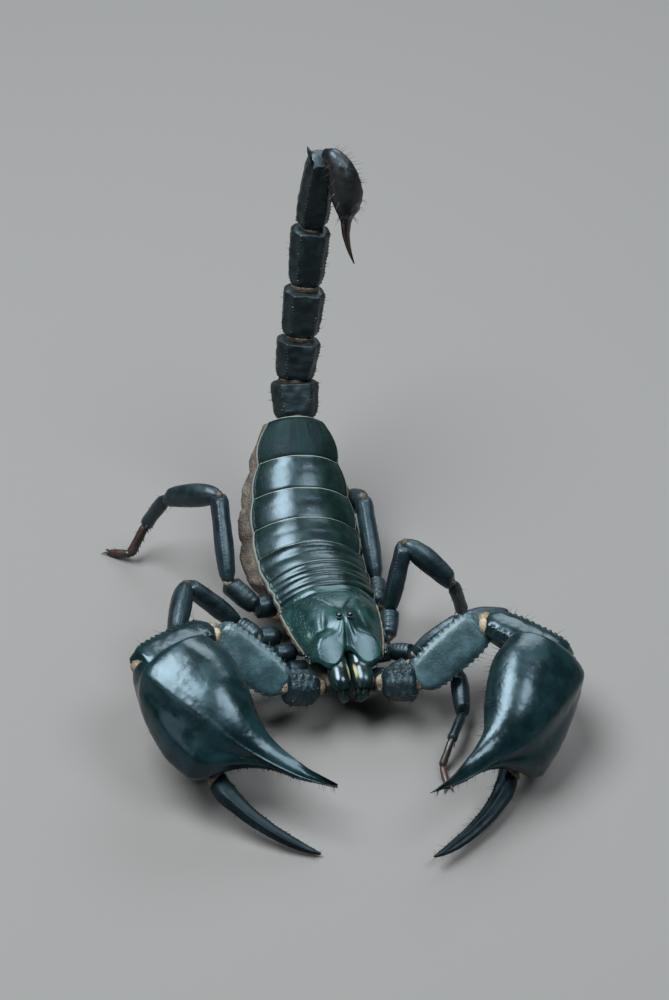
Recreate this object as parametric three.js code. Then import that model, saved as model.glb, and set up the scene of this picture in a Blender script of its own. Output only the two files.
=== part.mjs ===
// An Asian forest scorpion, life size, in a raised-tail stance. Millimetres, +Z up.
// The head points towards -Y and the animal's left side towards +X; the feet stand on z = 0.
import * as THREE from 'three';

const degree = Math.PI / 180;

// ---- driving sizes -------------------------------------------------------------------------

const clearance = 0.3;
const armJointGap = 0.38;
const rightSide = -1;
const leftSide = 1;

// The trunk: its top line starts at the rear edge of the carapace and runs back from there.
const trunkStart = new THREE.Vector3(0, 0, 15.5);
const trunkRoll = 8;
const plateThickness = 0.9;
const crownHeight = 4.4;
const crownShape = 2.3;
const bellyDepth = 5.9;
const pleuraBulge = { right: 1.7, left: 0.9 };

const carapace = {
  length: 16.6,
  heading: -86,
  rearHalfWidth: 8.7,
  frontHalfWidth: 6.3,
  crownRear: 4.9,
  crownFront: 2.3,
  notchDepth: 2.1,
  notchHalfWidth: 0.17,
  cornerCut: 3.4,
  eyeDistance: 8.9,
  eyeSpacing: 1.9,
  eyeRadius: 0.55,
  tubercleHeight: 1.0,
};

// Each tergite: length along the top line, heading and climb of that line, half width at its rear.
const trunkFrontHalfWidth = 8.6;
const tergites = [
  { length: 2.9, heading: 97, climb: 2, halfWidth: 8.7 },
  { length: 2.9, heading: 97, climb: 3, halfWidth: 9.0 },
  { length: 4.6, heading: 97, climb: 6, halfWidth: 9.2 },
  { length: 5.4, heading: 88, climb: 11, halfWidth: 9.2 },
  { length: 6.1, heading: 88, climb: 18, halfWidth: 8.6 },
  { length: 6.4, heading: 86, climb: 22, halfWidth: 7.2 },
  { length: 8.0, heading: 86, climb: 27, halfWidth: 4.8 },
];

// Each tail segment: length, half width, half height, heading and climb of its axis.
const tailRoot = new THREE.Vector3(0.0, 36.1, 22.6);
const tailSegments = [
  { length: 7.2, halfWidth: 4.1, halfHeight: 3.4, heading: 84, climb: 50 },
  { length: 7.8, halfWidth: 3.7, halfHeight: 3.3, heading: 64, climb: 64 },
  { length: 9.2, halfWidth: 3.5, halfHeight: 3.2, heading: 61, climb: 69 },
  { length: 11.0, halfWidth: 3.3, halfHeight: 3.1, heading: 64, climb: 69 },
  { length: 14.0, halfWidth: 2.8, halfHeight: 2.8, heading: 10, climb: 82 },
];
const tailDorsalHeading = -75;

// The telson arches over and hangs down in front of the last tail segment. Each station gives its
// distance in front of the tail's axis, its drop below the tail's end, and its radius.
const telsonHeading = -51;
const vesicleStations = [
  [1.0, -1.0, 0.85],
  [2.8, -0.9, 1.3],
  [4.7, 0.5, 1.9],
  [5.9, 2.7, 2.45],
  [6.4, 5.3, 2.7],
  [6.4, 7.9, 2.3],
  [6.1, 9.9, 1.5],
  [5.9, 11.1, 1.05],
];
const stingerStations = [
  [5.9, 11.5, 0.95],
  [5.9, 13.2, 0.8],
  [6.2, 15.2, 0.62],
  [6.8, 17.2, 0.42],
  [7.6, 18.9, 0.26],
];

// Arm segments share their lengths left and right; the turns are heading and climb of each one.
const armLengths = { trochanter: 5.6, femur: 15.3, patella: 15.4 };
const armWidths = { trochanter: 2.9, femur: 3.5, patella: 3.3 };
const armDepths = { trochanter: 2.6, femur: 1.8, patella: 2.9 };
const arms = {
  right: {
    side: rightSide,
    root: [-5.2, -16.8, 8.5],
    turns: [[-176, 13], [140, 24], [-148, 6]],
    plateNormal: [-0.2, -0.75, 0.63],
    handForward: [0.65, -0.72, -0.24],
    handDorsal: [-0.1, -0.36, 0.93],
  },
  left: {
    side: leftSide,
    root: [5.6, -17.6, 8.3],
    turns: [[-10, 3], [24, 26], [-36, -11]],
    plateNormal: [-0.1, -0.75, 0.64],
    handForward: [-0.66, -0.75, -0.06],
    handDorsal: [0.5, -0.5, 0.71],
  },
};

// The hand, from the wrist outwards: distance, inner and outer margin, top and underside, then the
// ridge that parts the back of the hand from its outer face, across and up, and the lean of the
// section towards the wrist.
const handStations = [
  [0.4, -1.9, 1.6, 1.2, -1.6, 0.8, 0.8, 0],
  [2.2, -1.8, 3.1, 2.6, -2.6, 1.2, 2.1, 0.05],
  [4.0, -4.6, 4.5, 4.0, -3.6, 1.4, 3.4, 0.35],
  [5.2, -7.8, 5.4, 4.8, -4.0, 1.4, 4.1, 0.5],
  [6.9, -11.0, 6.3, 5.4, -4.5, 1.3, 4.7, 0.5],
  [9.8, -11.0, 7.2, 5.9, -5.2, 1.2, 5.0, 0.35],
  [14.0, -9.6, 7.8, 5.8, -5.3, 1.2, 4.7, 0.15],
  [17.8, -7.6, 7.8, 4.9, -5.0, 1.2, 4.0, 0.05],
  [20.0, -6.2, 6.9, 4.0, -4.2, 1.0, 3.3, 0],
  [22.2, -5.1, 4.4, 2.9, -2.4, 0.5, 2.4, 0],
  [24.4, -4.5, 1.8, 1.9, -2.0, -0.2, 1.5, 0],
  [27.6, -4.2, -0.5, 0.9, -2.2, -1.1, 0.6, 0],
  [32.0, -4.3, -2.2, -0.2, -2.3, -2.5, -0.4, 0],
  [37.2, -5.3, -4.5, -1.5, -2.2, -4.6, -1.6, 0],
];
// The movable finger in the same frame: distance, centre across, centre height, half width, half depth.
const fingerStations = [
  [21.4, 5.3, -5.0, 1.9, 1.45],
  [23.4, 5.9, -4.9, 1.8, 1.6],
  [26.0, 6.2, -4.9, 1.45, 1.5],
  [29.0, 6.3, -5.1, 1.25, 1.35],
  [32.6, 6.0, -5.4, 1.1, 1.15],
  [36.4, 5.3, -5.8, 0.85, 0.9],
  [40.1, 4.2, -6.2, 0.5, 0.5],
  [41.4, 3.6, -6.4, 0.3, 0.3],
];

// Legs, front pair first: lengths of trochanter, femur, patella, tibia, basitarsus and telotarsus.
const legLengths = [
  [4.2, 8.4, 7.8, 6.2, 4.6, 4.2],
  [4.6, 9.8, 9.0, 7.0, 5.0, 4.6],
  [5.0, 12.0, 10.8, 8.2, 5.6, 5.0],
  [6.4, 15.7, 12.8, 9.5, 6.2, 5.0],
];
const legHalfWidths = { coxa: 1.7, trochanter: 1.6, femur: 1.55, patella: 1.75, tibia: 1.0, basitarsus: 0.75,
  telotarsus: 0.65 };
const legGirth = [0.85, 0.95, 1.05, 1.1];
const coxaLength = 3.4;
const soleHeight = 0.2;
const legs = {
  right: [
    {
      root: [-9.2, -11.2, 7.6],
      turns: [[-170, 5], [-172, 5], [-138, -22], [-90, -23], [-18, -22], [12, -12]],
    },
    {
      root: [-10.8, -7.6, 8.0],
      turns: [[172, 12], [-166, 9], [-135, -25], [-75, -35], [0, -16], [10, -12]],
    },
    {
      root: [-12.7, -2.7, 7.5],
      turns: [[125, -2], [161, 42], [-107, -13], [-129, -56], [-131, -64], [-60, -12]],
    },
    {
      root: [-12.4, 2.7, 9.7],
      turns: [[136, 25], [88, 33], [137, -27], [141, -60], [-153, -55], [143, -11]],
    },
  ],
  left: [
    {
      root: [7.0, -14.6, 6.9],
      turns: [[20, 12], [-15, -8], [-96, -21], [-119, 0], [-126, -36], [-88, -12]],
    },
    {
      root: [8.5, -9.2, 7.2],
      turns: [[-35, 15], [10, 32], [5, -10], [-45, -58], [-60, -68], [-80, -12]],
    },
    {
      root: [8.9, -5.6, 7.1],
      turns: [[76, 20], [56, 58], [-30, -37], [30, -72], [-32, -43], [36, -11]],
    },
    {
      root: [8.8, 2.7, 6.4],
      turns: [[83, 4], [89.5, 28], [104.5, -47], [104, -18], [96, -8], [95, -5]],
    },
  ],
};

// ---- finishes ------------------------------------------------------------------------------

const finish = {
  plate: { color: 0x1d3a3e, roughness: 0.32, metalness: 0 },
  limb: { color: 0x23393f, roughness: 0.36, metalness: 0 },
  tail: { color: 0x131d20, roughness: 0.4, metalness: 0 },
  hand: { color: 0x1f4348, roughness: 0.34, metalness: 0 },
  belly: { color: 0x5a4c3c, roughness: 0.6, metalness: 0 },
  eye: { color: 0x050607, roughness: 0.08, metalness: 0 },
  sting: { color: 0x2a1a14, roughness: 0.25, metalness: 0 },
};

// ---- shape helpers -------------------------------------------------------------------------

const point = (values) => new THREE.Vector3(...values);

function direction(heading, climb) {
  const level = Math.cos(climb * degree);
  return new THREE.Vector3(
    Math.cos(heading * degree) * level,
    Math.sin(heading * degree) * level,
    Math.sin(climb * degree),
  );
}

function frameAlong(along, dorsalHint) {
  const forward = along.clone().normalize();
  const side = dorsalHint.clone().cross(forward).normalize();
  const dorsal = forward.clone().cross(side);
  return { forward, side, dorsal };
}

function within(frame, origin, across, up, ahead = 0) {
  return origin.clone()
    .addScaledVector(frame.side, across)
    .addScaledVector(frame.dorsal, up)
    .addScaledVector(frame.forward, ahead);
}

// A ring of points round an origin; squareness 1 is an ellipse and smaller values are boxier.
function ringOf(frame, origin, halfWidth, halfHeight, sides, squareness = 1) {
  const soften = (value) => Math.sign(value) * Math.abs(value) ** squareness;
  return Array.from({ length: sides }, (_, index) => {
    const angle = ((index + 0.5) / sides) * 2 * Math.PI;
    return within(frame, origin, soften(Math.cos(angle)) * halfWidth, soften(Math.sin(angle)) * halfHeight);
  });
}

function solidFrom(points, triangles) {
  const corner = (index) => points[index];
  const volume = triangles.reduce((sum, [a, b, c]) => {
    return sum + corner(a).dot(corner(b).clone().cross(corner(c)));
  }, 0);
  const facing = volume < 0 ? triangles.map(([a, b, c]) => [a, c, b]) : triangles;
  const geometry = new THREE.BufferGeometry();
  geometry.setFromPoints(points);
  geometry.setIndex(facing.flat());
  geometry.computeVertexNormals();
  return geometry;
}

// A closed solid through a row of rings, with a fan on each end.
function loft(rings) {
  const sides = rings[0].length;
  const points = rings.flat();
  const triangles = [];
  for (let row = 0; row + 1 < rings.length; row += 1) {
    for (let index = 0; index < sides; index += 1) {
      const next = (index + 1) % sides;
      const a = row * sides + index;
      const b = row * sides + next;
      triangles.push([a, b, a + sides], [b, b + sides, a + sides]);
    }
  }
  for (const [row, flip] of [[0, true], [rings.length - 1, false]]) {
    const middle = rings[row].reduce((sum, item) => sum.add(item), new THREE.Vector3()).divideScalar(sides);
    const hub = points.push(middle) - 1;
    for (let index = 0; index < sides; index += 1) {
      const a = row * sides + index;
      const b = row * sides + ((index + 1) % sides);
      triangles.push(flip ? [b, a, hub] : [a, b, hub]);
    }
  }
  return solidFrom(points, triangles);
}

// A closed curved plate: surface(u, v, under) gives its outer and inner skins, u and v from 0 to 1.
function curvedPlate(columns, rows, surface) {
  const stride = columns + 1;
  const layer = stride * (rows + 1);
  const points = [];
  for (const under of [false, true]) {
    for (let row = 0; row <= rows; row += 1) {
      for (let column = 0; column <= columns; column += 1) {
        points.push(surface(column / columns, row / rows, under));
      }
    }
  }
  const triangles = [];
  for (let row = 0; row < rows; row += 1) {
    for (let column = 0; column < columns; column += 1) {
      const a = row * stride + column;
      const b = a + 1;
      const c = a + stride;
      const d = c + 1;
      triangles.push([a, b, c], [b, d, c]);
      triangles.push([a + layer, c + layer, b + layer], [b + layer, c + layer, d + layer]);
    }
  }
  const rim = [];
  for (let column = 0; column < columns; column += 1) rim.push(column);
  for (let row = 0; row < rows; row += 1) rim.push(row * stride + columns);
  for (let column = columns; column > 0; column -= 1) rim.push(rows * stride + column);
  for (let row = rows; row > 0; row -= 1) rim.push(row * stride);
  rim.forEach((a, index) => {
    const b = rim[(index + 1) % rim.length];
    triangles.push([a, a + layer, b], [b, a + layer, b + layer]);
  });
  return solidFrom(points, triangles);
}

const scorpion = new THREE.Group();

function addPart(name, geometry, look) {
  const mesh = new THREE.Mesh(geometry, new THREE.MeshStandardMaterial(look));
  mesh.name = name;
  scorpion.add(mesh);
  return mesh;
}

function jointsOf(root, lengths, turns) {
  const joints = [point(root)];
  lengths.forEach((length, index) => {
    joints.push(joints[index].clone().addScaledVector(direction(...turns[index]), length));
  });
  return joints;
}

// ---- trunk ---------------------------------------------------------------------------------

// Frames of the trunk at the joints between tergites, rolled about the trunk's own axis.
function rolledFrame(forward) {
  const level = frameAlong(forward, new THREE.Vector3(0, 0, 1));
  const dorsal = level.dorsal.clone().applyAxisAngle(new THREE.Vector3(0, 1, 0), trunkRoll * degree);
  return frameAlong(forward, dorsal);
}

const trunkTurns = tergites.map((plate) => direction(plate.heading, plate.climb));
const trunkJoints = [trunkStart.clone()];
tergites.forEach((plate, index) => {
  trunkJoints.push(trunkJoints[index].clone().addScaledVector(trunkTurns[index], plate.length));
});
const trunkFrames = trunkJoints.map((_, index) => {
  const before = trunkTurns[Math.max(index - 1, 0)];
  const after = trunkTurns[Math.min(index, trunkTurns.length - 1)];
  return rolledFrame(before.clone().add(after));
});
const trunkHalfWidths = [trunkFrontHalfWidth, ...tergites.map((plate) => plate.halfWidth)];

// The trunk at a position counted in tergites: 0 is the carapace's rear edge, 7 the tail root.
function trunkAt(position) {
  const index = Math.min(Math.floor(position), tergites.length - 1);
  const share = position - index;
  const forward = trunkFrames[index].forward.clone().lerp(trunkFrames[index + 1].forward, share);
  const dorsal = trunkFrames[index].dorsal.clone().lerp(trunkFrames[index + 1].dorsal, share);
  return {
    top: trunkJoints[index].clone().lerp(trunkJoints[index + 1], share),
    frame: frameAlong(forward, dorsal),
    halfWidth: THREE.MathUtils.lerp(trunkHalfWidths[index], trunkHalfWidths[index + 1], share),
  };
}

const crownDrop = (across) => crownHeight * Math.abs(across) ** crownShape;
const narrowing = (halfWidth) => halfWidth / tergites[3].halfWidth;

function tergiteSolid(index) {
  const length = tergites[index].length;
  const start = index + clearance / 2 / length;
  const span = 1 - clearance / length;
  return curvedPlate(10, 2, (u, v, under) => {
    const across = 2 * u - 1;
    const { top, frame, halfWidth } = trunkAt(start + span * v);
    const swell = Math.sin(Math.PI * v);
    const scale = narrowing(halfWidth);
    const height = 0.2 * swell - crownDrop(across) * scale - (under ? plateThickness : 0);
    return within(frame, top, -across * (halfWidth + 0.3 * swell), height);
  });
}

// The soft belly: its upper side runs just under the tergites and its flanks bulge past them.
function abdomenRing(position) {
  const { top, frame, halfWidth } = trunkAt(position);
  const scale = narrowing(halfWidth);
  const fullness = THREE.MathUtils.smoothstep(position, 0.8, 3);
  const ring = [];
  const arch = 8;
  for (let step = 0; step <= arch; step += 1) {
    const across = (2 * step) / arch - 1;
    const height = -plateThickness - clearance - crownDrop(across) * scale;
    ring.push(within(frame, top, -across * halfWidth * 0.98, height));
  }
  const edge = -plateThickness - crownHeight * scale;
  const narrow = (1 - fullness) * 4;
  const flank = (side, bulge) => [
    [side * (halfWidth + bulge * scale * fullness - narrow), edge - (0.7 + 0.9 * fullness) * scale],
    [side * (halfWidth + bulge * 0.6 * scale * fullness - narrow), edge - 3.4 * scale],
    [side * (halfWidth * 0.72 - narrow * 0.4), edge - (bellyDepth - 0.9) * scale],
    [side * halfWidth * 0.3, edge - (bellyDepth - 0.4) * scale],
  ];
  const around = [...flank(-1, pleuraBulge.left), ...flank(1, pleuraBulge.right).reverse()];
  for (const [across, height] of around) ring.push(within(frame, top, across, height));
  return ring;
}

const abdomenStarts = 0.12;
const abdomenEnds = 6.97;
const abdomenRows = 10;
const abdomenRings = Array.from({ length: abdomenRows + 1 }, (_, row) => {
  return abdomenRing(THREE.MathUtils.lerp(abdomenStarts, abdomenEnds, row / abdomenRows));
});

tergites.forEach((_, index) => addPart(`tergite_${index + 1}`, tergiteSolid(index), finish.plate));
addPart('abdomen', loft(abdomenRings), finish.belly);

// ---- carapace and what it carries ----------------------------------------------------------

const headFrame = rolledFrame(direction(carapace.heading, 0));
const bell = (value, spread) => Math.exp(-((value / spread) ** 2));

function carapaceTop(across, ahead) {
  const share = ahead / carapace.length;
  const slope = THREE.MathUtils.lerp(carapace.crownRear, carapace.crownFront, share ** 2.2);
  const crown = slope + 0.5 * Math.sin(Math.PI * share);
  const shoulders = crown * (1 - Math.abs(across) ** 2.4);
  const tubercle = carapace.tubercleHeight * bell(across, 0.2) * bell(ahead - carapace.eyeDistance, 2.2);
  const groove = 0.55 * bell(across, 0.1) * THREE.MathUtils.smoothstep(ahead, 9.5, 13);
  const hollow = 0.55 * bell(across, 0.32) * (1 - THREE.MathUtils.smoothstep(ahead, 0.5, 5));
  return shoulders + tubercle - groove - hollow;
}

function carapaceHalfWidth(share) {
  return THREE.MathUtils.lerp(carapace.rearHalfWidth, carapace.frontHalfWidth, share ** 1.9);
}

function carapaceSurface(u, v, under) {
  const across = 2 * u - 1;
  const reach = carapace.length - carapace.notchDepth * bell(across, carapace.notchHalfWidth)
    - carapace.cornerCut * Math.abs(across) ** 4;
  const ahead = clearance + (reach - clearance) * v;
  const margin = -carapace.crownRear;
  const height = margin + carapaceTop(across, ahead) - (under ? plateThickness : 0);
  return within(headFrame, trunkStart, across * carapaceHalfWidth(v), height, ahead);
}

addPart('carapace', curvedPlate(16, 9, carapaceSurface), finish.plate);

for (const [name, side] of [['right', rightSide], ['left', leftSide]]) {
  const across = (side * carapace.eyeSpacing) / 2;
  const height = carapaceTop(across / carapaceHalfWidth(0.5), carapace.eyeDistance) - carapace.crownRear;
  const above = height + carapace.eyeRadius + clearance;
  const centre = within(headFrame, trunkStart, across, above, carapace.eyeDistance);
  const ball = new THREE.SphereGeometry(carapace.eyeRadius, 8, 6).translate(...centre);
  addPart(`eye_${name}`, ball, finish.eye);
}

// Under the carapace: sternum and arm bases in one body. Its rings are set back from its front.
const prosoma = {
  sides: 14,
  // distance ahead of the carapace's rear edge, half width, top and underside below the top line
  stations: [
    [0.1, 4.4, -6.6, -9.8],
    [2.0, 4.9, -6.3, -10.0],
    [5.0, 5.0, -6.2, -10.2],
    [9.0, 4.9, -6.2, -10.2],
    [12.0, 4.4, -6.3, -10.4],
    [14.4, 3.9, -6.7, -10.2],
    [16.0, 3.4, -7.2, -9.8],
  ],
};
const prosomaRings = prosoma.stations.map(([ahead, halfWidth, top, bottom]) => {
  const middle = within(headFrame, trunkStart, 0, (top + bottom) / 2, ahead);
  return ringOf(headFrame, middle, halfWidth, (top - bottom) / 2, prosoma.sides, 0.8);
});
addPart('prosoma', loft(prosomaRings), finish.belly);

// Each chelicera is a short stout body with a fang-like finger that bends down at its end.
const chelicera = {
  across: 1.75,
  // distance ahead, height, half width, half height, side shift towards the middle
  stations: [
    [12.2, -4.9, 0.9, 0.8, 0],
    [13.6, -5.0, 1.5, 1.25, 0],
    [16.2, -5.1, 1.6, 1.6, 0],
    [18.2, -5.7, 1.4, 1.6, 0.05],
    [19.6, -6.9, 1.0, 1.3, 0.2],
    [20.2, -8.4, 0.55, 0.7, 0.4],
  ],
};
function cheliceraSolid(side) {
  const centres = chelicera.stations.map(([ahead, height, , , inwards]) => {
    return within(headFrame, trunkStart, side * (chelicera.across - inwards), height, ahead);
  });
  return loft(centres.map((centre, index) => {
    const [, , halfWidth, halfHeight] = chelicera.stations[index];
    const next = centres[Math.min(index + 1, centres.length - 1)];
    const along = next.clone().sub(centres[Math.max(index - 1, 0)]);
    return ringOf(frameAlong(along, headFrame.dorsal), centre, halfWidth, halfHeight, 8);
  }));
}
addPart('chelicera_right', cheliceraSolid(rightSide), finish.hand);
addPart('chelicera_left', cheliceraSolid(leftSide), finish.hand);

// ---- limb pieces ---------------------------------------------------------------------------

// How far a flat-ended piece stays back from a bent joint so that it clears the next one.
function setBack(before, after, radius) {
  const bend = before && after ? before.angleTo(after) : 0;
  return radius * Math.tan(bend / 2);
}

const endShare = 0.74;
const knuckleGap = 0.3;
const bodyShares = [[0.14, 0.94], [0.45, 1], [0.8, 0.92]];

// One solid through one or more segments. Each segment is { from, to, halfWidth, halfHeight };
// before and after are the directions of the neighbouring pieces.
function limbSolid(segments, dorsalHint, before, after, sides = 8, squareness = 0.85, gap = clearance / 2) {
  const ways = segments.map((segment) => segment.to.clone().sub(segment.from).normalize());
  const rings = [];
  segments.forEach((segment, index) => {
    const way = ways[index];
    const frame = frameAlong(way, dorsalHint);
    const length = segment.from.distanceTo(segment.to);
    const radius = segment.halfHeight * endShare;
    const first = index === 0;
    const last = index === segments.length - 1;
    const startsAt = (first ? gap : knuckleGap) + setBack(first ? before : ways[index - 1], way, radius);
    const backOff = (last ? gap : knuckleGap) + setBack(way, last ? after : ways[index + 1], radius);
    const endsAt = length - backOff;
    const addRing = (distance, scale) => {
      const centre = segment.from.clone().addScaledVector(way, distance);
      const [halfWidth, halfHeight] = [segment.halfWidth * scale, segment.halfHeight * scale];
      rings.push(ringOf(frame, centre, halfWidth, halfHeight, sides, squareness));
    };
    addRing(startsAt, endShare);
    for (const [share, scale] of bodyShares) addRing(THREE.MathUtils.lerp(startsAt, endsAt, share), scale);
    addRing(endsAt, endShare);
  });
  return loft(rings);
}

// ---- legs ----------------------------------------------------------------------------------

const upwards = new THREE.Vector3(0, 0, 1);

function legSegments(joints, girth, names) {
  return names.map(([name, index]) => ({
    from: joints[index],
    to: joints[index + 1],
    halfWidth: legHalfWidths[name] * girth,
    halfHeight: legHalfWidths[name] * girth * 1.08,
  }));
}

// The foot stands on a small flat: what would sink below the floor is pressed level with it.
function standOnFloor(geometry) {
  const positions = geometry.getAttribute('position');
  for (let index = 0; index < positions.count; index += 1) {
    positions.setZ(index, Math.max(positions.getZ(index), 0));
  }
  geometry.computeVertexNormals();
  return geometry;
}

for (const [sideName, side] of [['right', rightSide], ['left', leftSide]]) {
  legs[sideName].forEach((leg, index) => {
    const joints = jointsOf(leg.root, legLengths[index], leg.turns);
    const inwards = new THREE.Vector3(-side, 0.1, -0.12).normalize();
    joints.unshift(joints[0].clone().addScaledVector(inwards, coxaLength));
    joints[joints.length - 1].z = soleHeight;
    const girth = legGirth[index];
    const ways = joints.slice(1).map((joint, step) => joint.clone().sub(joints[step]).normalize());
    const upper = legSegments(joints, girth, [['coxa', 0], ['trochanter', 1], ['femur', 2]]);
    const lower = legSegments(joints, girth, [['patella', 3], ['tibia', 4]]);
    const foot = legSegments(joints, girth, [['basitarsus', 5], ['telotarsus', 6]]);
    const name = `leg_${sideName}_${index + 1}`;
    addPart(`${name}_upper`, limbSolid(upper, upwards, null, ways[3]), finish.limb);
    addPart(`${name}_lower`, limbSolid(lower, upwards, ways[2], ways[5]), finish.limb);
    addPart(`${name}_foot`, standOnFloor(limbSolid(foot, upwards, ways[4], null)), finish.limb);
  });
}

// ---- arms and hands ------------------------------------------------------------------------

// The section runs from the inner margin over the back to the ridge, down the outer face and back
// along the underside.
function handRing(frame, origin, side, [ahead, inner, outer, top, bottom, ridge, ridgeUp, lean]) {
  const mix = THREE.MathUtils.lerp;
  const section = [
    [inner, 0.1 * top],
    [mix(inner, ridge, 0.1), 0.52 * top],
    [mix(inner, ridge, 0.36), 0.88 * top],
    [mix(inner, ridge, 0.7), top],
    [ridge, ridgeUp],
    [mix(ridge, outer, 0.62), mix(ridgeUp, 0.3 * bottom, 0.42)],
    [outer, 0.3 * bottom],
    [mix(inner, outer, 0.94), 0.68 * bottom],
    [mix(inner, outer, 0.76), 0.95 * bottom],
    [mix(inner, outer, 0.5), bottom],
    [mix(inner, outer, 0.26), 0.85 * bottom],
    [mix(inner, outer, 0.07), 0.45 * bottom],
  ];
  return section.map(([across, up]) => within(frame, origin, side * across, up, ahead - lean * up));
}

function fingerRing(frame, origin, side, [ahead, across, height, halfWidth, halfHeight]) {
  return ringOf(frame, within(frame, origin, side * across, height, ahead), halfWidth, halfHeight, 8, 0.9);
}

for (const [sideName, arm] of Object.entries(arms)) {
  const { trochanter, femur, patella } = armLengths;
  const joints = jointsOf(arm.root, [trochanter, femur, patella], arm.turns);
  const ways = joints.slice(1).map((joint, step) => joint.clone().sub(joints[step]).normalize());
  const handWay = point(arm.handForward).normalize();
  const segment = (name, index) => [{
    from: joints[index],
    to: joints[index + 1],
    halfWidth: armWidths[name],
    halfHeight: armDepths[name],
  }];
  const normal = point(arm.plateNormal);
  const name = `arm_${sideName}`;
  const armPiece = (part, index, hint, before, after, squareness) => {
    const solid = limbSolid(segment(part, index), hint, before, after, 10, squareness, armJointGap);
    addPart(`${name}_${part}`, solid, finish.limb);
  };
  armPiece('trochanter', 0, normal, null, ways[1], 0.85);
  armPiece('femur', 1, normal, ways[0], ways[2], 0.7);
  armPiece('patella', 2, upwards, ways[1], handWay, 0.85);
  const frame = frameAlong(handWay, point(arm.handDorsal));
  const outwards = arm.side;
  const hand = handStations.map((station) => handRing(frame, joints[3], outwards, station));
  addPart(`${name}_hand`, loft(hand), finish.hand);
  const finger = fingerStations.map((station) => fingerRing(frame, joints[3], outwards, station));
  addPart(`${name}_finger`, loft(finger), finish.hand);
}

// ---- tail ----------------------------------------------------------------------------------

const tailDorsal = direction(tailDorsalHeading, 0);
const tailJoints = [tailRoot];
tailSegments.forEach(({ length, heading, climb }, index) => {
  tailJoints.push(tailJoints[index].clone().addScaledVector(direction(heading, climb), length));
});
const tailWays = tailSegments.map(({ heading, climb }) => direction(heading, climb));
tailSegments.forEach(({ halfWidth, halfHeight }, index) => {
  const segment = { from: tailJoints[index], to: tailJoints[index + 1], halfWidth, halfHeight };
  const before = tailWays[index - 1] ?? trunkTurns[trunkTurns.length - 1];
  const after = tailWays[index + 1] ?? null;
  addPart(`tail_${index + 1}`, limbSolid([segment], tailDorsal, before, after, 12, 0.62), finish.tail);
});

// The telson arches over from the tail's end and hangs in front of its last segment.
const tailEnd = tailJoints[tailJoints.length - 1];
const telsonFront = direction(telsonHeading, 0);
const telsonSide = telsonFront.clone().cross(upwards);

function hangingLoft(stations, sides) {
  const centres = stations.map(([ahead, drop]) => {
    return tailEnd.clone().addScaledVector(telsonFront, ahead).addScaledVector(upwards, -drop);
  });
  return loft(centres.map((centre, index) => {
    const next = centres[Math.min(index + 1, centres.length - 1)];
    const previous = centres[Math.max(index - 1, 0)];
    const along = next.clone().sub(previous).normalize();
    const frame = frameAlong(along, telsonSide.clone().cross(along));
    const radius = stations[index][2];
    return ringOf(frame, centre, radius * 0.96, radius, sides);
  }));
}
addPart('telson_vesicle', hangingLoft(vesicleStations, 12), finish.tail);
addPart('telson_stinger', hangingLoft(stingerStations, 8), finish.sting);

// ---- pectines: the pair of comb organs under the front of the belly -----------------------

const pectine = {
  at: 0.9,
  below: 11.3,
  start: 0.9,
  reach: 8.2,
  sweep: 3.4,
  halfWidth: 1.3,
  halfHeight: 0.35,
};
for (const [name, side] of [['right', rightSide], ['left', leftSide]]) {
  const { top, frame } = trunkAt(pectine.at);
  const rings = [0, 0.3, 0.65, 1].map((share) => {
    const across = -side * THREE.MathUtils.lerp(pectine.start, pectine.reach, share);
    const centre = within(frame, top, across, -pectine.below, pectine.sweep * share ** 1.5);
    const along = frame.side.clone().multiplyScalar(-side).addScaledVector(frame.forward, 0.6 * share);
    const size = 1 - 0.45 * share ** 2;
    return ringOf(frameAlong(along, frame.dorsal), centre, pectine.halfWidth * size, pectine.halfHeight, 8);
  });
  addPart(`pectine_${name}`, loft(rings), finish.belly);
}

// The model is handed over with its footprint's centre at the origin and the floor at z = 0.
const bounds = new THREE.Box3().setFromObject(scorpion);
const middle = bounds.getCenter(new THREE.Vector3());
scorpion.position.set(-middle.x, -middle.y, 0);

export default scorpion;
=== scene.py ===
import math
import random
import bmesh
import bpy
from mathutils import Matrix, Vector, noise


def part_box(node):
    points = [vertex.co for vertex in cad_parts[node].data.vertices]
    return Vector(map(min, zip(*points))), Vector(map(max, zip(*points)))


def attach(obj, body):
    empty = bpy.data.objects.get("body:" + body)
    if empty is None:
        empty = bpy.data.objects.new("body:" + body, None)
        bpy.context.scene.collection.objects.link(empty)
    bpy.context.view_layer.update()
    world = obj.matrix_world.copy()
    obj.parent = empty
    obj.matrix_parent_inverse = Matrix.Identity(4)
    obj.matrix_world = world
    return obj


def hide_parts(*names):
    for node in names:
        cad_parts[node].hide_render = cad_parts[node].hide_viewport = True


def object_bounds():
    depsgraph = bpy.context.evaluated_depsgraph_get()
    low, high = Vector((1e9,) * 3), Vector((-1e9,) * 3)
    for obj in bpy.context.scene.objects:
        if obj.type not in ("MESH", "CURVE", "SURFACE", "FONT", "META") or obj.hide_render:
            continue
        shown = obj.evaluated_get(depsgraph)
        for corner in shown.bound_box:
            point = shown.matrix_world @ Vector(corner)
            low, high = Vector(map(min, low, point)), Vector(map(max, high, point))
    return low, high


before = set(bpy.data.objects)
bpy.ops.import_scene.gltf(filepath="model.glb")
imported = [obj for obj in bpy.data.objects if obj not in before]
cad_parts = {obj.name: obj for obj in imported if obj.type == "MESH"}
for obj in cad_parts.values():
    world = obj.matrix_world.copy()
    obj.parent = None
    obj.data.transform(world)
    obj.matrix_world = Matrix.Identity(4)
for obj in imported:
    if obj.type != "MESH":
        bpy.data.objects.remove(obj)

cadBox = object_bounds()
chance = random.Random(11)  # one seed for every random draw
upwards = Vector((0, 0, 1))
sides = {"right": -1, "left": 1}
millimetre = 0.001

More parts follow.
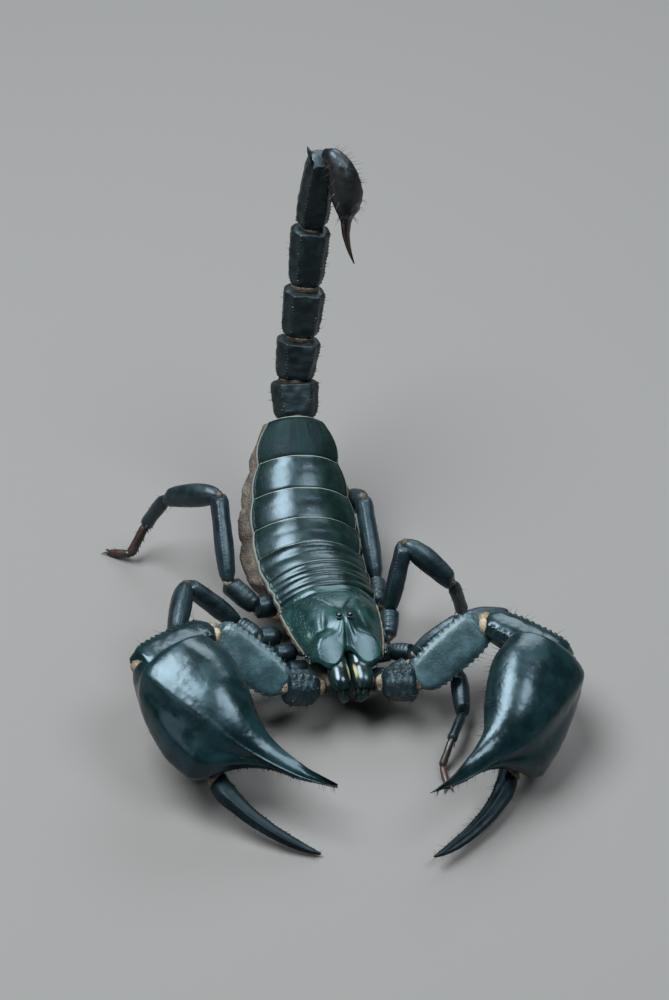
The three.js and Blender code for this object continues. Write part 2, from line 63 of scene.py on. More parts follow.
# Shapes are worked out in millimetres with the head towards -Y, and scaled when a piece is finished.


def bell(value, spread):
    return math.exp(-((value / spread) ** 2))


def held(value):
    return min(max(value, 0), 1)


def rise(value, low, high):
    share = held((value - low) / (high - low))
    return share * share * (3 - 2 * share)


def fade(value, low, high):
    return 1 - rise(value, low, high)


def arch(share):
    return math.sin(math.pi * held(share))


def between(low, high, share):
    return low + (high - low) * share


def degreesFrom(turn, at):
    return ((turn * 360 - at + 180) % 360) - 180


def heading(turn, climb):
    turn, climb = math.radians(turn), math.radians(climb)
    return Vector((math.cos(turn) * math.cos(climb), math.sin(turn) * math.cos(climb), math.sin(climb)))


def axesAlong(forward, dorsalHint):
    ahead = forward.normalized()
    side = dorsalHint.cross(ahead).normalized()
    return side, ahead, ahead.cross(side)


def within(axes, origin, across, up, ahead=0):
    return origin + axes[0] * across + axes[2] * up + axes[1] * ahead


# Across and up on a ring of radius 1; a boxiness below 1 fills its corners.
def onRing(turn, boxiness=1):
    across, up = math.cos(turn * math.tau), math.sin(turn * math.tau)
    return math.copysign(abs(across) ** boxiness, across), math.copysign(abs(up) ** boxiness, up)


# A point on an oval ring round the centre.
def ringPoint(axes, centre, turn, halfWidth, halfHeight):
    out, up = onRing(turn)
    return within(axes, centre, halfWidth * out, halfHeight * up)


def numbered(rows):
    return [(index, *row) for index, row in enumerate(rows)]


# Smooth values through a table whose rows are (place, value, value...); it never overshoots a row.
def readTable(table, place):
    if place <= table[0][0]:
        return table[0][1:]
    if place >= table[-1][0]:
        return table[-1][1:]
    row = next(index for index in range(len(table) - 1) if place <= table[index + 1][0])
    span = table[row + 1][0] - table[row][0]
    share = (place - table[row][0]) / span

    def slope(index, column):
        if index in (0, len(table) - 1):
            return 0
        before, here, after = table[index - 1:index + 2]
        back = (here[column] - before[column]) / (here[0] - before[0])
        on = (after[column] - here[column]) / (after[0] - here[0])
        return 0 if back * on <= 0 else 2 * back * on / (back + on)

    values = []
    for column in range(1, len(table[0])):
        low, high = table[row][column], table[row + 1][column]
        square, cube = share * share, share ** 3
        values.append(low * (2 * cube - 3 * square + 1) + high * (3 * square - 2 * cube)
                      + span * slope(row, column) * (cube - 2 * square + share)
                      + span * slope(row + 1, column) * (cube - square))
    return values


# Reads rows of values by the share of the way from the first row to the last.
def reader(rows):
    table = numbered(rows)
    return lambda share: readTable(table, share * (len(table) - 1))


# A smooth closed line through a ring of points, at a turn from 0 to 1.
def aroundRing(ring, turn):
    place = (turn % 1) * len(ring)
    index = int(place)
    share = place - index
    before, start, end, after = [ring[(index + step) % len(ring)] for step in (-1, 0, 1, 2)]
    return 0.5 * (2 * start + (end - before) * share
                  + (2 * before - 5 * start + 4 * end - after) * share ** 2
                  + (3 * start - before - 3 * end + after) * share ** 3)


def newMesh():
    mesh = bmesh.new()
    for name in ("grain", "pale", "turn"):
        mesh.verts.layers.float.new(name)
    return mesh


def paintVert(mesh, vert, grain=0, pale=0):
    vert[mesh.verts.layers.float["grain"]] = grain
    vert[mesh.verts.layers.float["pale"]] = pale


# The edges or faces that touch these verts, each once and in a fixed order.
def touching(verts, kind):
    return list(dict.fromkeys(item for vert in verts for item in getattr(vert, kind)))


# A closed tube: a circle is extruded ring by ring, place(share, turn) sets each point, and the two
# ends are drawn together to a pole. paint is (grain, pale), or gives them for a share and turn.
def sweepTube(mesh, rows, columns, place, paint=(0, 0)):
    turnLayer = mesh.verts.layers.float["turn"]
    ring = bmesh.ops.create_circle(mesh, cap_ends=False, radius=1, segments=columns)["verts"]
    for vert in ring:
        vert[turnLayer] = math.atan2(vert.co.y, vert.co.x) / math.tau
    edges = firstEdges = touching(ring, "link_edges")

    def extrude(fromEdges):
        made = bmesh.ops.extrude_edge_only(mesh, edges=fromEdges)["geom"]
        return [[item for item in made if isinstance(item, kind)]
                for kind in (bmesh.types.BMVert, bmesh.types.BMEdge)]

    for row in range(rows + 1):
        share = row / rows
        if row:
            ring, edges = extrude(edges)
        for vert in ring:
            turn = vert[turnLayer]
            vert.co = place(share, turn)
            paintVert(mesh, vert, *(paint(share, turn) if callable(paint) else paint))
    for endEdges in (edges, firstEdges):
        lastRing, _ = extrude(endEdges)
        middle = sum((vert.co for vert in lastRing), Vector()) / len(lastRing)
        bmesh.ops.pointmerge(mesh, verts=lastRing, merge_co=middle)


# An open sheet, across from -1 to 1 and along from 0 to 1, facing the way that facing points.
def curvedSheet(mesh, columns, rows, surface, facing, paint):
    verts = bmesh.ops.create_grid(mesh, x_segments=columns, y_segments=rows, size=1)["verts"]
    for vert in verts:
        across, along = vert.co.x, (vert.co.y + 1) / 2
        vert.co = surface(across, along)
        paintVert(mesh, vert, *paint(across, along))
    faces = touching(verts, "link_faces")
    bmesh.ops.recalc_face_normals(mesh, faces=faces)
    if sum((face.normal * face.calc_area() for face in faces), Vector()).dot(facing) < 0:
        bmesh.ops.reverse_faces(mesh, faces=faces)


def paintAll(mesh, verts, grain, pale):
    for vert in verts:
        paintVert(mesh, vert, grain, pale)
    return verts


def addBall(mesh, centre, radius, axes=None, stretch=(1, 1, 1), grain=0, pale=0, rings=8, around=12):
    turn = Matrix(axes).transposed().to_4x4() if axes else Matrix()
    matrix = Matrix.Translation(centre) @ turn @ Matrix.Diagonal((*[radius * part for part in stretch], 1))
    made = bmesh.ops.create_uvsphere(mesh, u_segments=around, v_segments=rings, radius=1, matrix=matrix)
    return paintAll(mesh, made["verts"], grain, pale)


# A bead or tooth with few faces, for the shapes that repeat many times.
def addBead(mesh, centre, radius, grain=0, pale=0):
    made = bmesh.ops.create_icosphere(mesh, subdivisions=1, radius=radius, matrix=Matrix.Translation(centre))
    paintAll(mesh, made["verts"], grain, pale)


def addSpike(mesh, root, direction, length, radius, segments, tip=0.08):
    way = direction.normalized()
    turn = upwards.rotation_difference(way).to_matrix().to_4x4()
    made = bmesh.ops.create_cone(mesh, cap_ends=True, segments=segments, radius1=radius, radius2=radius * tip,
                                 depth=length, matrix=Matrix.Translation(root + way * length / 2) @ turn)
    return paintAll(mesh, made["verts"], 0, 0)


def rough(point, size, seed=0):
    return noise.noise(Vector((point.x / size + seed, point.y / size - seed, point.z / size + 2 * seed)))


def addToScene(name, data):
    made = bpy.data.objects.new(name, data)
    bpy.context.scene.collection.objects.link(made)
    return made


# The piece takes the finish of its look and, when a node of the solids is named, hides that node.
def finishPiece(mesh, name, look, node=None, thickness=None, sharp=50):
    if not thickness:
        bmesh.ops.recalc_face_normals(mesh, faces=mesh.faces)
    bmesh.ops.transform(mesh, matrix=bodyToFrame, verts=mesh.verts)
    data = bpy.data.meshes.new(name)
    mesh.to_mesh(data)
    mesh.free()
    data.materials.append(finishes[look])
    data.shade_smooth()
    data.set_sharp_from_angle(angle=math.radians(sharp))
    piece = addToScene(name, data)
    if thickness:
        wall = piece.modifiers.new("wall", "SOLIDIFY")
        wall.thickness = thickness * millimetre
        wall.offset = -1
    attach(piece, "root")
    if node:
        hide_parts(node)


# The layout of the body, the same as in the solids.
trunk = {
    "start": Vector((0, 0, 15.5)),
    "roll": 8,
    "frontHalfWidth": 8.6,
    "fullHalfWidth": 9.2,
    "crownHeight": 4.4,
    "crownShape": 2.3,
    "plateDepth": 0.9,
    "bellyDepth": 5.9,
    "bulge": {"right": 1.7, "left": 0.9},
    # each back plate: length, heading and climb of its top line, half width at its rear
    "plates": [(2.9, 97, 2, 8.7), (2.9, 97, 3, 9), (4.6, 97, 6, 9.2), (5.4, 88, 11, 9.2), (6.1, 88, 18, 8.6),
        (6.4, 86, 22, 7.2), (8, 86, 27, 4.8)],
}
lastPlate = len(trunk["plates"]) - 1


def rolledAxes(forward):
    level = axesAlong(forward, upwards)
    return axesAlong(forward, Matrix.Rotation(math.radians(trunk["roll"]), 3, "Y") @ level[2])


plateWays = [heading(turn, climb) for _, turn, climb, _ in trunk["plates"]]
trunkTops = [trunk["start"]]
for plate, way in zip(trunk["plates"], plateWays):
    trunkTops.append(trunkTops[-1] + way * plate[0])
trunkAxes = [rolledAxes(plateWays[max(index - 1, 0)] + plateWays[min(index, lastPlate)])
             for index in range(lastPlate + 2)]
widthTable = numbered([(trunk["frontHalfWidth"],)] + [(plate[3],) for plate in trunk["plates"]])
headAxes = rolledAxes(heading(-86, 0))


# The trunk counted in back plates: 0 is the carapace's rear edge and 7 the root of the tail. It gives
# the top point, the axes, the half width and the width's share of the fullest one.
def trunkAt(position):
    index = min(max(int(position), 0), lastPlate)
    share = position - index
    top = trunkTops[index] + (trunkTops[index + 1] - trunkTops[index]) * share
    forward = trunkAxes[index][1].lerp(trunkAxes[index + 1][1], share)
    dorsal = trunkAxes[index][2].lerp(trunkAxes[index + 1][2], share)
    halfWidth = readTable(widthTable, position)[0]
    return top, axesAlong(forward, dorsal), halfWidth, halfWidth / trunk["fullHalfWidth"]


def crownDrop(across):
    return trunk["crownHeight"] * abs(across) ** trunk["crownShape"]


def onHead(across, up, ahead):
    return within(headAxes, trunk["start"], across, up, ahead)


def jointsOf(root, lengths, turns):
    joints = [Vector(root)]
    for length, turn in zip(lengths, turns):
        joints.append(joints[-1] + heading(*turn) * length)
    return joints


def waysOf(joints):
    return [(after - before).normalized() for before, after in zip(joints, joints[1:])]


carapace = {
    "length": 16.6,
    "rearHalfWidth": 8.7,
    "frontHalfWidth": 6.3,
    "narrowing": 1.9,
    "crownRear": 4.9,
    "crownFront": 2.3,
    "crownFall": 2.2,
    "crownShape": 2.4,
    "notchDepth": 3.3,
    "notchHalfWidth": 0.25,
    "cornerCut": 3.4,
    "eyeDistance": 8.9,
    "eyeSpacing": 1.9,
    "eyeRadius": 0.55,
    # (distance ahead, share across, radius)
    "sideEyes": [(12.1, 0.955, 0.3), (12.9, 0.95, 0.32), (13.6, 0.93, 0.26)],
    "lobeFrom": 11.3,
    "lobeTop": 4.25,
    "lobeSlope": 0.57,
    "lobeAcross": 0.43,
    # grooves along the shield: (depth, share across, slant, spread across, distance ahead, spread ahead)
    "grooves": [(0.3, 0, 0, 0.045, 9.2, 2.4), (0.2, 0.16, 0.03, 0.06, 8.4, 2.2),
        (0.18, 0.7, 0, 0.09, 6.2, 1.9)],
    "fanGrooves": 15,
    "fanDepth": 0.09,
    "rearGrooveDepth": 0.3,
    "rimHeight": 0.16,
    "thickness": 0.55,
}


def carapaceHalfWidth(share):
    return between(carapace["rearHalfWidth"], carapace["frontHalfWidth"], share ** carapace["narrowing"])


def carapaceRise(across, ahead):
    share = held(ahead / carapace["length"])
    side = abs(across)
    offLobe = side - carapace["lobeAcross"]
    crown = between(carapace["crownRear"], carapace["crownFront"], share ** carapace["crownFall"])
    height = (crown + 0.5 * arch(share)) * (1 - side ** carapace["crownShape"])
    height += bell(across, 0.2) * bell(ahead - carapace["eyeDistance"], 2.2)  # the hump with the eyes
    lobe = carapace["lobeTop"] - carapace["lobeSlope"] * (ahead - carapace["lobeFrom"])
    lobe -= 0.26 * (offLobe / 0.33) ** 2
    away = math.hypot(offLobe / 0.5, max(14.4 - ahead, 0) / 3.8)
    height = between(height, lobe, fade(away, 0.62, 1.2))
    height -= 0.7 * bell(across, 0.075) * rise(ahead, 9.5, 13)  # the groove between the front lobes
    height -= 0.35 * bell(across, 0.3) * fade(ahead, 0.5, 5)  # the hollow at the rear
    return height


def carapaceDetail(across, ahead):
    side = abs(across)
    gap = ahead - carapace["eyeDistance"]
    fan = math.atan2(across * 7.5, gap + 0.8)
    ribs = max(math.cos(fan * carapace["fanGrooves"]), 0) ** 3 * bell(fan, 0.75)
    detail = -carapace["fanDepth"] * ribs * rise(gap, 0.4, 1) * fade(gap, 2.2, 4)
    for depth, at, slant, spread, place, reach in carapace["grooves"]:
        detail -= depth * bell(side - at - slant * ahead, spread) * bell(ahead - place, reach)
    wedge = 0.1 + 0.085 * max(6.4 - ahead, 0)  # the V behind the eyes
    detail -= 0.15 * bell(side - wedge, 0.055) * rise(ahead, 0.8, 2) * fade(ahead, 5.5, 7)
    detail -= carapace["rearGrooveDepth"] * bell(ahead - 1.3, 0.4) * (1 - 0.5 * bell(side, 0.3))
    return detail + carapace["rimHeight"] * bell(side - 0.975, 0.018)


def eyeCentre(side):
    across = side * carapace["eyeSpacing"] / 2
    height = carapaceRise(across / carapaceHalfWidth(0.5), carapace["eyeDistance"]) - carapace["crownRear"]
    return onHead(across, height + carapace["eyeRadius"] + 0.3, carapace["eyeDistance"])


low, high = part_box("eye_left")
eyeInFrame = (Vector(low) + Vector(high)) / 2
bodyToFrame = Matrix.Translation(eyeInFrame - eyeCentre(1) * millimetre) @ Matrix.Scale(millimetre, 4)
print("layout ready, body shifted by", [round(value / millimetre, 3) for value in bodyToFrame.translation])


# Lower-case names are the node's own settings, n0, n1 and so on its inputs by number, and the rest
# its inputs by name. A value is a number, a colour or another node's output.
def addNode(tree, kind, **values):
    node = tree.nodes.new(kind)
    for name, value in values.items():
        if hasattr(node, name):
            setattr(node, name, value)
            continue
        socket = node.inputs[int(name[1:]) if name[1:].isdigit() else name]
        if isinstance(value, bpy.types.NodeSocket):
            tree.links.new(value, socket)
        else:
            socket.default_value = value
    return node


# The group's inputs: colours and values that a look sets, and masks that the mesh holds.
toneInputs = {"Deep": "deep", "Light": "light", "Pale Tone": "paleTone"}
maskInputs = {"Pale": "pale", "Grain": "grain"}
valueInputs = {"Cloud Scale": "clouds", "Bead Scale": "beads", "Bead Height": "beadHeight",
               "Smoothness": "roughness"}
shellPattern = {
    "cloudEdges": (0.36, 0.68),
    "beadEdges": (0.05, 0.6),
    "paleEdges": (0.3, 0.75),
    "paleFrom": 0.02,
    "patchiness": 0.5,
    "beadTint": 0.35,
    "fineScale": 5200,
    "fineHeight": 0.06,
    "cloudHeight": 0.25,
    # how much each adds to the roughness
    "cloudRoughness": 0.1,
    "paleRoughness": 0.2,
    "grainRoughness": 0.12,
}


# Polished shell: cloudy two-tone colour, pale skin where the paleness mask says, and bead-like
# granules where the grain mask says.
def makeShellGroup():
    group = bpy.data.node_groups.new("shellFinish", "ShaderNodeTree")
    tone, number = "NodeSocketColor", "NodeSocketFloat"
    sockets = [(label, "INPUT", tone) for label in toneInputs]
    sockets += [(label, "INPUT", number) for label in (*maskInputs, *valueInputs)]
    sockets += [("Color", "OUTPUT", tone), ("Roughness", "OUTPUT", number), ("Height", "OUTPUT", number)]
    for label, way, kind in sockets:
        group.interface.new_socket(name=label, in_out=way, socket_type=kind)
    given = group.nodes.new("NodeGroupInput").outputs
    look = shellPattern

    def compute(operation, first, second, third=0.5, clamp=False):
        return addNode(group, "ShaderNodeMath", operation=operation, use_clamp=clamp,
                       n0=first, n1=second, n2=third).outputs[0]

    def mixed(factor, first, second):
        return addNode(group, "ShaderNodeMix", data_type="RGBA", n0=factor, n6=first, n7=second).outputs[2]

    def ranged(value, edges):
        return addNode(group, "ShaderNodeMapRange", interpolation_type="SMOOTHSTEP",
                       n0=value, n1=edges[0], n2=edges[1]).outputs[0]

    place = group.nodes.new("ShaderNodeTexCoord").outputs["Object"]
    clouds = addNode(group, "ShaderNodeTexNoise", Vector=place, Scale=given["Cloud Scale"], Detail=3,
                     Roughness=0.6).outputs["Fac"]
    fine = addNode(group, "ShaderNodeTexNoise", Vector=place, Scale=look["fineScale"], Detail=2).outputs["Fac"]
    beads = addNode(group, "ShaderNodeTexVoronoi", Vector=place, Scale=given["Bead Scale"], Randomness=0.9)
    dome = compute("SUBTRACT", 1, ranged(beads.outputs["Distance"], look["beadEdges"]))
    granules = compute("MULTIPLY", dome, given["Grain"])
    cloudTone = ranged(clouds, look["cloudEdges"])
    colour = mixed(cloudTone, given["Deep"], given["Light"])
    colour = mixed(compute("MULTIPLY", granules, look["beadTint"]), colour, given["Light"])
    patches = compute("MULTIPLY_ADD", clouds, look["patchiness"], -look["patchiness"] / 2)
    paleness = compute("MULTIPLY", ranged(compute("ADD", given["Pale"], patches), look["paleEdges"]),
                       compute("GREATER_THAN", given["Pale"], look["paleFrom"]))
    colour = mixed(paleness, colour, given["Pale Tone"])
    roughness = compute("MULTIPLY_ADD", cloudTone, look["cloudRoughness"], given["Smoothness"])
    roughness = compute("MULTIPLY_ADD", paleness, look["paleRoughness"], roughness)
    roughness = compute("MULTIPLY_ADD", given["Grain"], look["grainRoughness"], roughness, clamp=True)
    height = compute("MULTIPLY", granules, given["Bead Height"])
    height = compute("MULTIPLY_ADD", fine, look["fineHeight"], height)
    height = compute("MULTIPLY_ADD", clouds, look["cloudHeight"], height)
    addNode(group, "NodeGroupOutput", Color=colour, Roughness=roughness, Height=height)
    return group


def shellMaterial(name, look):
    material = bpy.data.materials.new(name)
    material.use_nodes = True
    tree = material.node_tree
    tree.nodes.clear()
    values = {label: look[key] for label, key in valueInputs.items()}
    for label, key in toneInputs.items():
        values[label] = (*look[key], 1)
    for label, key in maskInputs.items():
        values[label] = addNode(tree, "ShaderNodeAttribute", attribute_name=key).outputs["Fac"]
    finish = addNode(tree, "ShaderNodeGroup", node_tree=shellGroup, **values).outputs
    bump = addNode(tree, "ShaderNodeBump", Height=finish["Height"], Strength=look["bump"], Distance=0.00012)
    shader = addNode(tree, "ShaderNodeBsdfPrincipled", **{
        "Base Color": finish["Color"], "Roughness": finish["Roughness"], "Normal": bump.outputs["Normal"],
        "IOR": look["ior"], "Specular Tint": (*look["sheenTint"], 1), "Specular IOR Level": look["specular"],
        "Coat Weight": look["coat"], "Coat Roughness": look["coatRoughness"]})
    addNode(tree, "ShaderNodeOutputMaterial", Surface=shader.outputs["BSDF"])
    return material


shellGroup = makeShellGroup()
blueSheen, plainSheen = (0.56, 0.81, 1), (0.9, 0.95, 1)
# A look says what differs from this one. Clouds and beads count per metre.
plainLook = dict(paleTone=(0.22, 0.19, 0.12), clouds=300, beads=2600, beadHeight=0.5, roughness=0.36, coat=0,
                 coatRoughness=0.2, specular=0.42, sheenTint=blueSheen, ior=1.52, bump=0.6)
looks = {
    "carapaceShell": dict(slot="carapace_shell", deep=(0.0018, 0.0105, 0.0102), light=(0.0076, 0.034, 0.0306),
        paleTone=(0.24, 0.23, 0.17), beads=2100, beadHeight=1, roughness=0.27, coat=0.1),
    "backShell": dict(slot="tergite_shell", deep=(0.0009, 0.0046, 0.0042), light=(0.0024, 0.0105, 0.0087),
        paleTone=(0.16, 0.18, 0.16), beads=2400, roughness=0.26, coat=0.08),
    "handShell": dict(slot="hand_shell", deep=(0.0011, 0.0062, 0.007), light=(0.003, 0.0145, 0.0165),
        clouds=210, beads=1100, beadHeight=0.45, roughness=0.21, coat=0.1),
    # The fingers' finish is darker than the hand's: painted shade for the fingers, which lie low in the hand's
    # shadow.
    "fingerShellWithPaintedShade": dict(slot="finger_shell", deep=(0.0006, 0.0025, 0.0037), light=(0.0019, 0.0069, 0.0088),
        clouds=240, beads=1300, roughness=0.38, specular=0.22),
    "armShell": dict(slot="arm_shell", deep=(0.011, 0.028, 0.035), light=(0.025, 0.056, 0.067), clouds=320,
        beads=1700, beadHeight=0.8, coat=0.1, sheenTint=(0.75, 0.92, 1)),
    "legShell": dict(slot="leg_shell", deep=(0.0015, 0.0045, 0.0056), light=(0.0045, 0.012, 0.0143),
        clouds=380, beads=2300, beadHeight=0.7, coat=0.1),
    "footShell": dict(slot="foot_shell", deep=(0.0075, 0.0075, 0.0075), light=(0.0375, 0.0163, 0.0112),
        paleTone=(0.12, 0.06, 0.03), clouds=420, roughness=0.34, sheenTint=plainSheen),
    "tailShell": dict(slot="tail_shell", deep=(0.0014, 0.0025, 0.0024), light=(0.0045, 0.0075, 0.007),
        paleTone=(0.2, 0.21, 0.18), clouds=330, beads=2000, beadHeight=0.6, coat=0.05, bump=0.4),
    "vesicleShell": dict(slot="vesicle_shell", deep=(0.0019, 0.0031, 0.0028), light=(0.01, 0.0069, 0.005),
        paleTone=(0.1, 0.07, 0.04), beads=1900, beadHeight=0.6, roughness=0.34, coat=0.1, bump=0.35),
    "stingShell": dict(slot="sting_shell", deep=(0.0063, 0.0031, 0.0025), light=(0.02, 0.0075, 0.0044),
        paleTone=(0.05, 0.015, 0.008), beadHeight=0.1, roughness=0.18, coat=0.4, sheenTint=plainSheen),
    "jawShell": dict(slot="jaw_shell", deep=(0.0013, 0.0037, 0.0037), light=(0.0037, 0.0125, 0.0112),
        paleTone=(0.3, 0.27, 0.13), clouds=500, beadHeight=0.3, roughness=0.22, coat=0.3),
    "eyeLens": dict(slot="eye_lens", deep=(0.0013, 0.0013, 0.0013), light=(0.0037, 0.0037, 0.0037),
        paleTone=(0.01, 0.01, 0.01), clouds=500, beadHeight=0, roughness=0.16, coat=0.3, bump=0),
    "flankSkin": dict(slot="belly_skin", deep=(0.022, 0.0165, 0.012), light=(0.075, 0.06, 0.044),
        paleTone=(0.16, 0.135, 0.1), clouds=420, beads=3200, beadHeight=1, roughness=0.46, bump=1,
        sheenTint=plainSheen),
    "jointSkin": dict(slot="belly_skin", deep=(0.03, 0.02, 0.012), light=(0.06, 0.048, 0.03),
        paleTone=(0.24, 0.2, 0.14), clouds=900, beads=3600, beadHeight=0.8, roughness=0.46, bump=0.9,
        sheenTint=plainSheen),
    "bellyShell": dict(slot="belly_skin", deep=(0.0088, 0.0175, 0.0163), light=(0.03, 0.0375, 0.0325),
        paleTone=(0.16, 0.13, 0.08), clouds=260, beadHeight=0.3, roughness=0.3, coat=0.2),
    "combSkin": dict(slot="comb_skin", deep=(0.1125, 0.0813, 0.0438), light=(0.2375, 0.1875, 0.1125),
        paleTone=(0.3, 0.26, 0.19), clouds=600, beads=3000, roughness=0.44, sheenTint=plainSheen),
    "hairs": dict(slot="leg_shell", deep=(0.015, 0.0088, 0.0063), light=(0.0438, 0.0225, 0.0125),
        paleTone=(0.12, 0.08, 0.05), clouds=600, beads=3000, beadHeight=0, roughness=0.38, bump=0,
        sheenTint=plainSheen),
}
looks["lastPlateShell"] = {**looks["backShell"], "roughness": 0.5, "coat": 0, "specular": 0.19}
finishes = {name: shellMaterial(name, {**plainLook, **look}) for name, look in looks.items()}
print("finishes made:", len(finishes))


# The carapace: one domed shield with a curled, pale-edged margin.
def makeCarapace():
    mesh = newMesh()

    def surface(across, along):
        side = abs(across)
        reach = carapace["length"] - carapace["notchDepth"] * bell(across, carapace["notchHalfWidth"])
        ahead = between(-0.35, reach - carapace["cornerCut"] * side ** 4, along)
        height = carapaceRise(across, ahead) - carapace["crownRear"] + carapaceDetail(across, ahead)
        height -= 0.6 * rise(along, 0.97, 1) ** 1.5 + 0.45 * rise(side, 0.96, 1) ** 2  # the curled edges
        height += 0.12 * bell(along, 0.03) - 0.25 * bell(along, 0.012)
        width = carapaceHalfWidth(along) * (1 - 0.012 * rise(side, 0.97, 1))
        point = onHead(across * width, height, ahead)
        bumps = 0.03 * rough(point, 2.6) + 0.03 * rough(point, 0.9, 5) * rise(side, 0.35, 0.7)
        return point + headAxes[2] * bumps

    def paint(across, along):
        side = abs(across)
        ahead = along * carapace["length"]
        lobes = bell(side - 0.4, 0.26) * bell(ahead - 13.8, 2.6)
        grain = max(rise(side, 0.45, 0.85) * 0.75, 0.5 * bell(ahead - 3.5, 2.5), 0.15) * (1 - 0.9 * lobes)
        spot = Vector((across * 8, ahead, 0))
        mottle = rise(rough(spot, 0.9, 3) + 0.5 * rough(spot, 0.35, 6), 0.22, 0.6)
        mottle *= (1 - lobes) * rise(side, 0.12, 0.3) * fade(ahead, 10, 14)
        return grain, max(0.95 * rise(side, 0.962, 0.985), 0.3 * bell(along, 0.012), 0.42 * mottle)

    curvedSheet(mesh, 120, 110, surface, headAxes[2], paint)
    finishPiece(mesh, "carapaceShield", "carapaceShell", "carapace", thickness=carapace["thickness"], sharp=70)


eyes = {"lensDrop": 0.42, "socketDrop": 0.52, "socketRadius": 0.56, "rimAcross": 0.12, "rimUp": 0.13}


def makeEyes():
    for name, side in sides.items():
        mesh = newMesh()
        centre = eyeCentre(side) - headAxes[2] * eyes["lensDrop"]
        addBall(mesh, centre, carapace["eyeRadius"], headAxes, rings=16, around=24)
        finishPiece(mesh, f"eye_{name}_lens", "eyeLens", "eye_" + name)
    mesh = newMesh()
    for side in sides.values():
        for ahead, out, radius in carapace["sideEyes"]:
            across = side * out * carapaceHalfWidth(ahead / carapace["length"])
            height = carapaceRise(out, ahead) - carapace["crownRear"] + 0.1
            addBall(mesh, onHead(across, height, ahead), radius, rings=10, around=14)
    finishPiece(mesh, "sideEyes", "eyeLens")
    mesh = newMesh()
    for side in sides.values():
        centre = eyeCentre(side) - headAxes[2] * eyes["socketDrop"]
        ring = bmesh.ops.create_grid(mesh, x_segments=28, y_segments=10, size=0.5)["verts"]
        for vert in ring:
            out, up = onRing(vert.co.y + 0.5)
            across, ahead = onRing(vert.co.x + 0.5)
            radius = eyes["socketRadius"] + eyes["rimAcross"] * out
            vert.co = within(headAxes, centre, radius * across, 0.02 + eyes["rimUp"] * up, radius * ahead)
    bmesh.ops.remove_doubles(mesh, verts=mesh.verts, dist=0.001)
    finishPiece(mesh, "eyeSockets", "carapaceShell")


# Back plates lap like tiles. Each has a rear band, a cross groove, a front band and a sunken front.
backPlates = {
    "lap": 0.9,
    "overhang": 0.15,
    "packing": 1.7,  # how much closer the rows lie towards the rear edge
    "sunkFront": 0.62,
    "swelledPlates": 3,
    "rearLip": 0.09,
    "rearDrop": 0.42,
    "widthBulge": 0.42,
    "lastWidthBulge": 0.75,
    "lastKeels": (0.25, 0.6),
    "grooveAt": [0.52, 0.52, 0.55, 0.56, 0.57, 0.58, 0.6],
    "grooveDepth": [0.1, 0.1, 0.12, 0.07, 0.05, 0.04, 0.04],
    "thickness": 0.4,
}


def makeBackPlate(index):
    mesh = newMesh()
    length = trunk["plates"][index][0]
    low = index - backPlates["lap"] / length
    high = index + 1 + backPlates["overhang"] / length
    front = (index - low) / (high - low)
    last = index == lastPlate
    grooveAt, grooveDepth = backPlates["grooveAt"][index], backPlates["grooveDepth"][index]

    def packed(along):
        return 1 - (1 - along) ** backPlates["packing"]

    def surface(across, along):
        along = packed(along)
        top, axes, halfWidth, scale = trunkAt(between(low, min(high, lastPlate + 1), along))
        share = (along - front) / (1 - front)
        side = abs(across)
        height = -backPlates["sunkFront"] * fade(share, -0.12, 0.12)
        if index < backPlates["swelledPlates"]:
            height += 0.34 * bell(share - 0.8, 0.24) + 0.08 * bell(share - 0.25, 0.14)
        else:
            height += 0.6 * (1 - (1 - held(share)) ** 2) - 0.36
        height -= grooveDepth * bell(share - grooveAt + 0.06 * side, 0.11) * (1 - side ** 4)
        height += backPlates["rearLip"] * bell(share - 0.97, 0.02)
        height -= backPlates["rearDrop"] * rise(share, 0.975, 1) ** 1.5
        height += 0.04 * bell(across, 0.04) * bell(share - 0.55, 0.35)
        height += 0.14 * bell(side - 0.965, 0.02) - 0.3 * rise(side, 0.975, 1)
        width = halfWidth + backPlates["widthBulge"] * arch(share) - 0.25 * rise(share, 0.93, 1)
        if last:
            for keel in backPlates["lastKeels"]:
                height += 0.08 * bell(side - keel, 0.06) * bell(share - 0.6, 0.25)
            height -= 0.5 * rise(share, 0.86, 1)
            width += backPlates["lastWidthBulge"] * arch(share)
        point = within(axes, top, -across * width, height - crownDrop(across) * scale)
        waves = 0.02 * rough(point, 2.2, index) + (0.035 if last else 0.012) * rough(point, 0.8, index + 4)
        return point + axes[2] * waves

    def paint(across, along):
        share = (packed(along) - front) / (1 - front)
        side = abs(across)
        grain = 0.1 + 0.35 * rise(side, 0.6, 0.95) + (0.6 * bell(share - 0.6, 0.45) if last else 0)
        rim = 0.85 * rise(side, 0.962, 0.978) * fade(share, 0.975, 0.99)
        return grain, max(0.9 * bell(share - 0.972, 0.016), rim)

    curvedSheet(mesh, 90, 44 if index > 1 else 34, surface, upwards, paint)
    finishPiece(mesh, f"backPlate{index + 1}", "lastPlateShell" if last else "backShell",
                f"tergite_{index + 1}", thickness=backPlates["thickness"], sharp=70)


# The soft belly with its folded flanks, and the hard plates under it.
belly = {
    "starts": 0.02,
    "ends": 7,
    "padHeight": 0.75,
    "foldHeight": 0.3,
    "foldsPerPlate": 4,
    "platePlaces": [(2, 3), (3, 4), (4, 5), (5, 6), (6, 6.95)],
    "plateHalfWidth": 0.74,
    "plateThickness": 0.3,
}


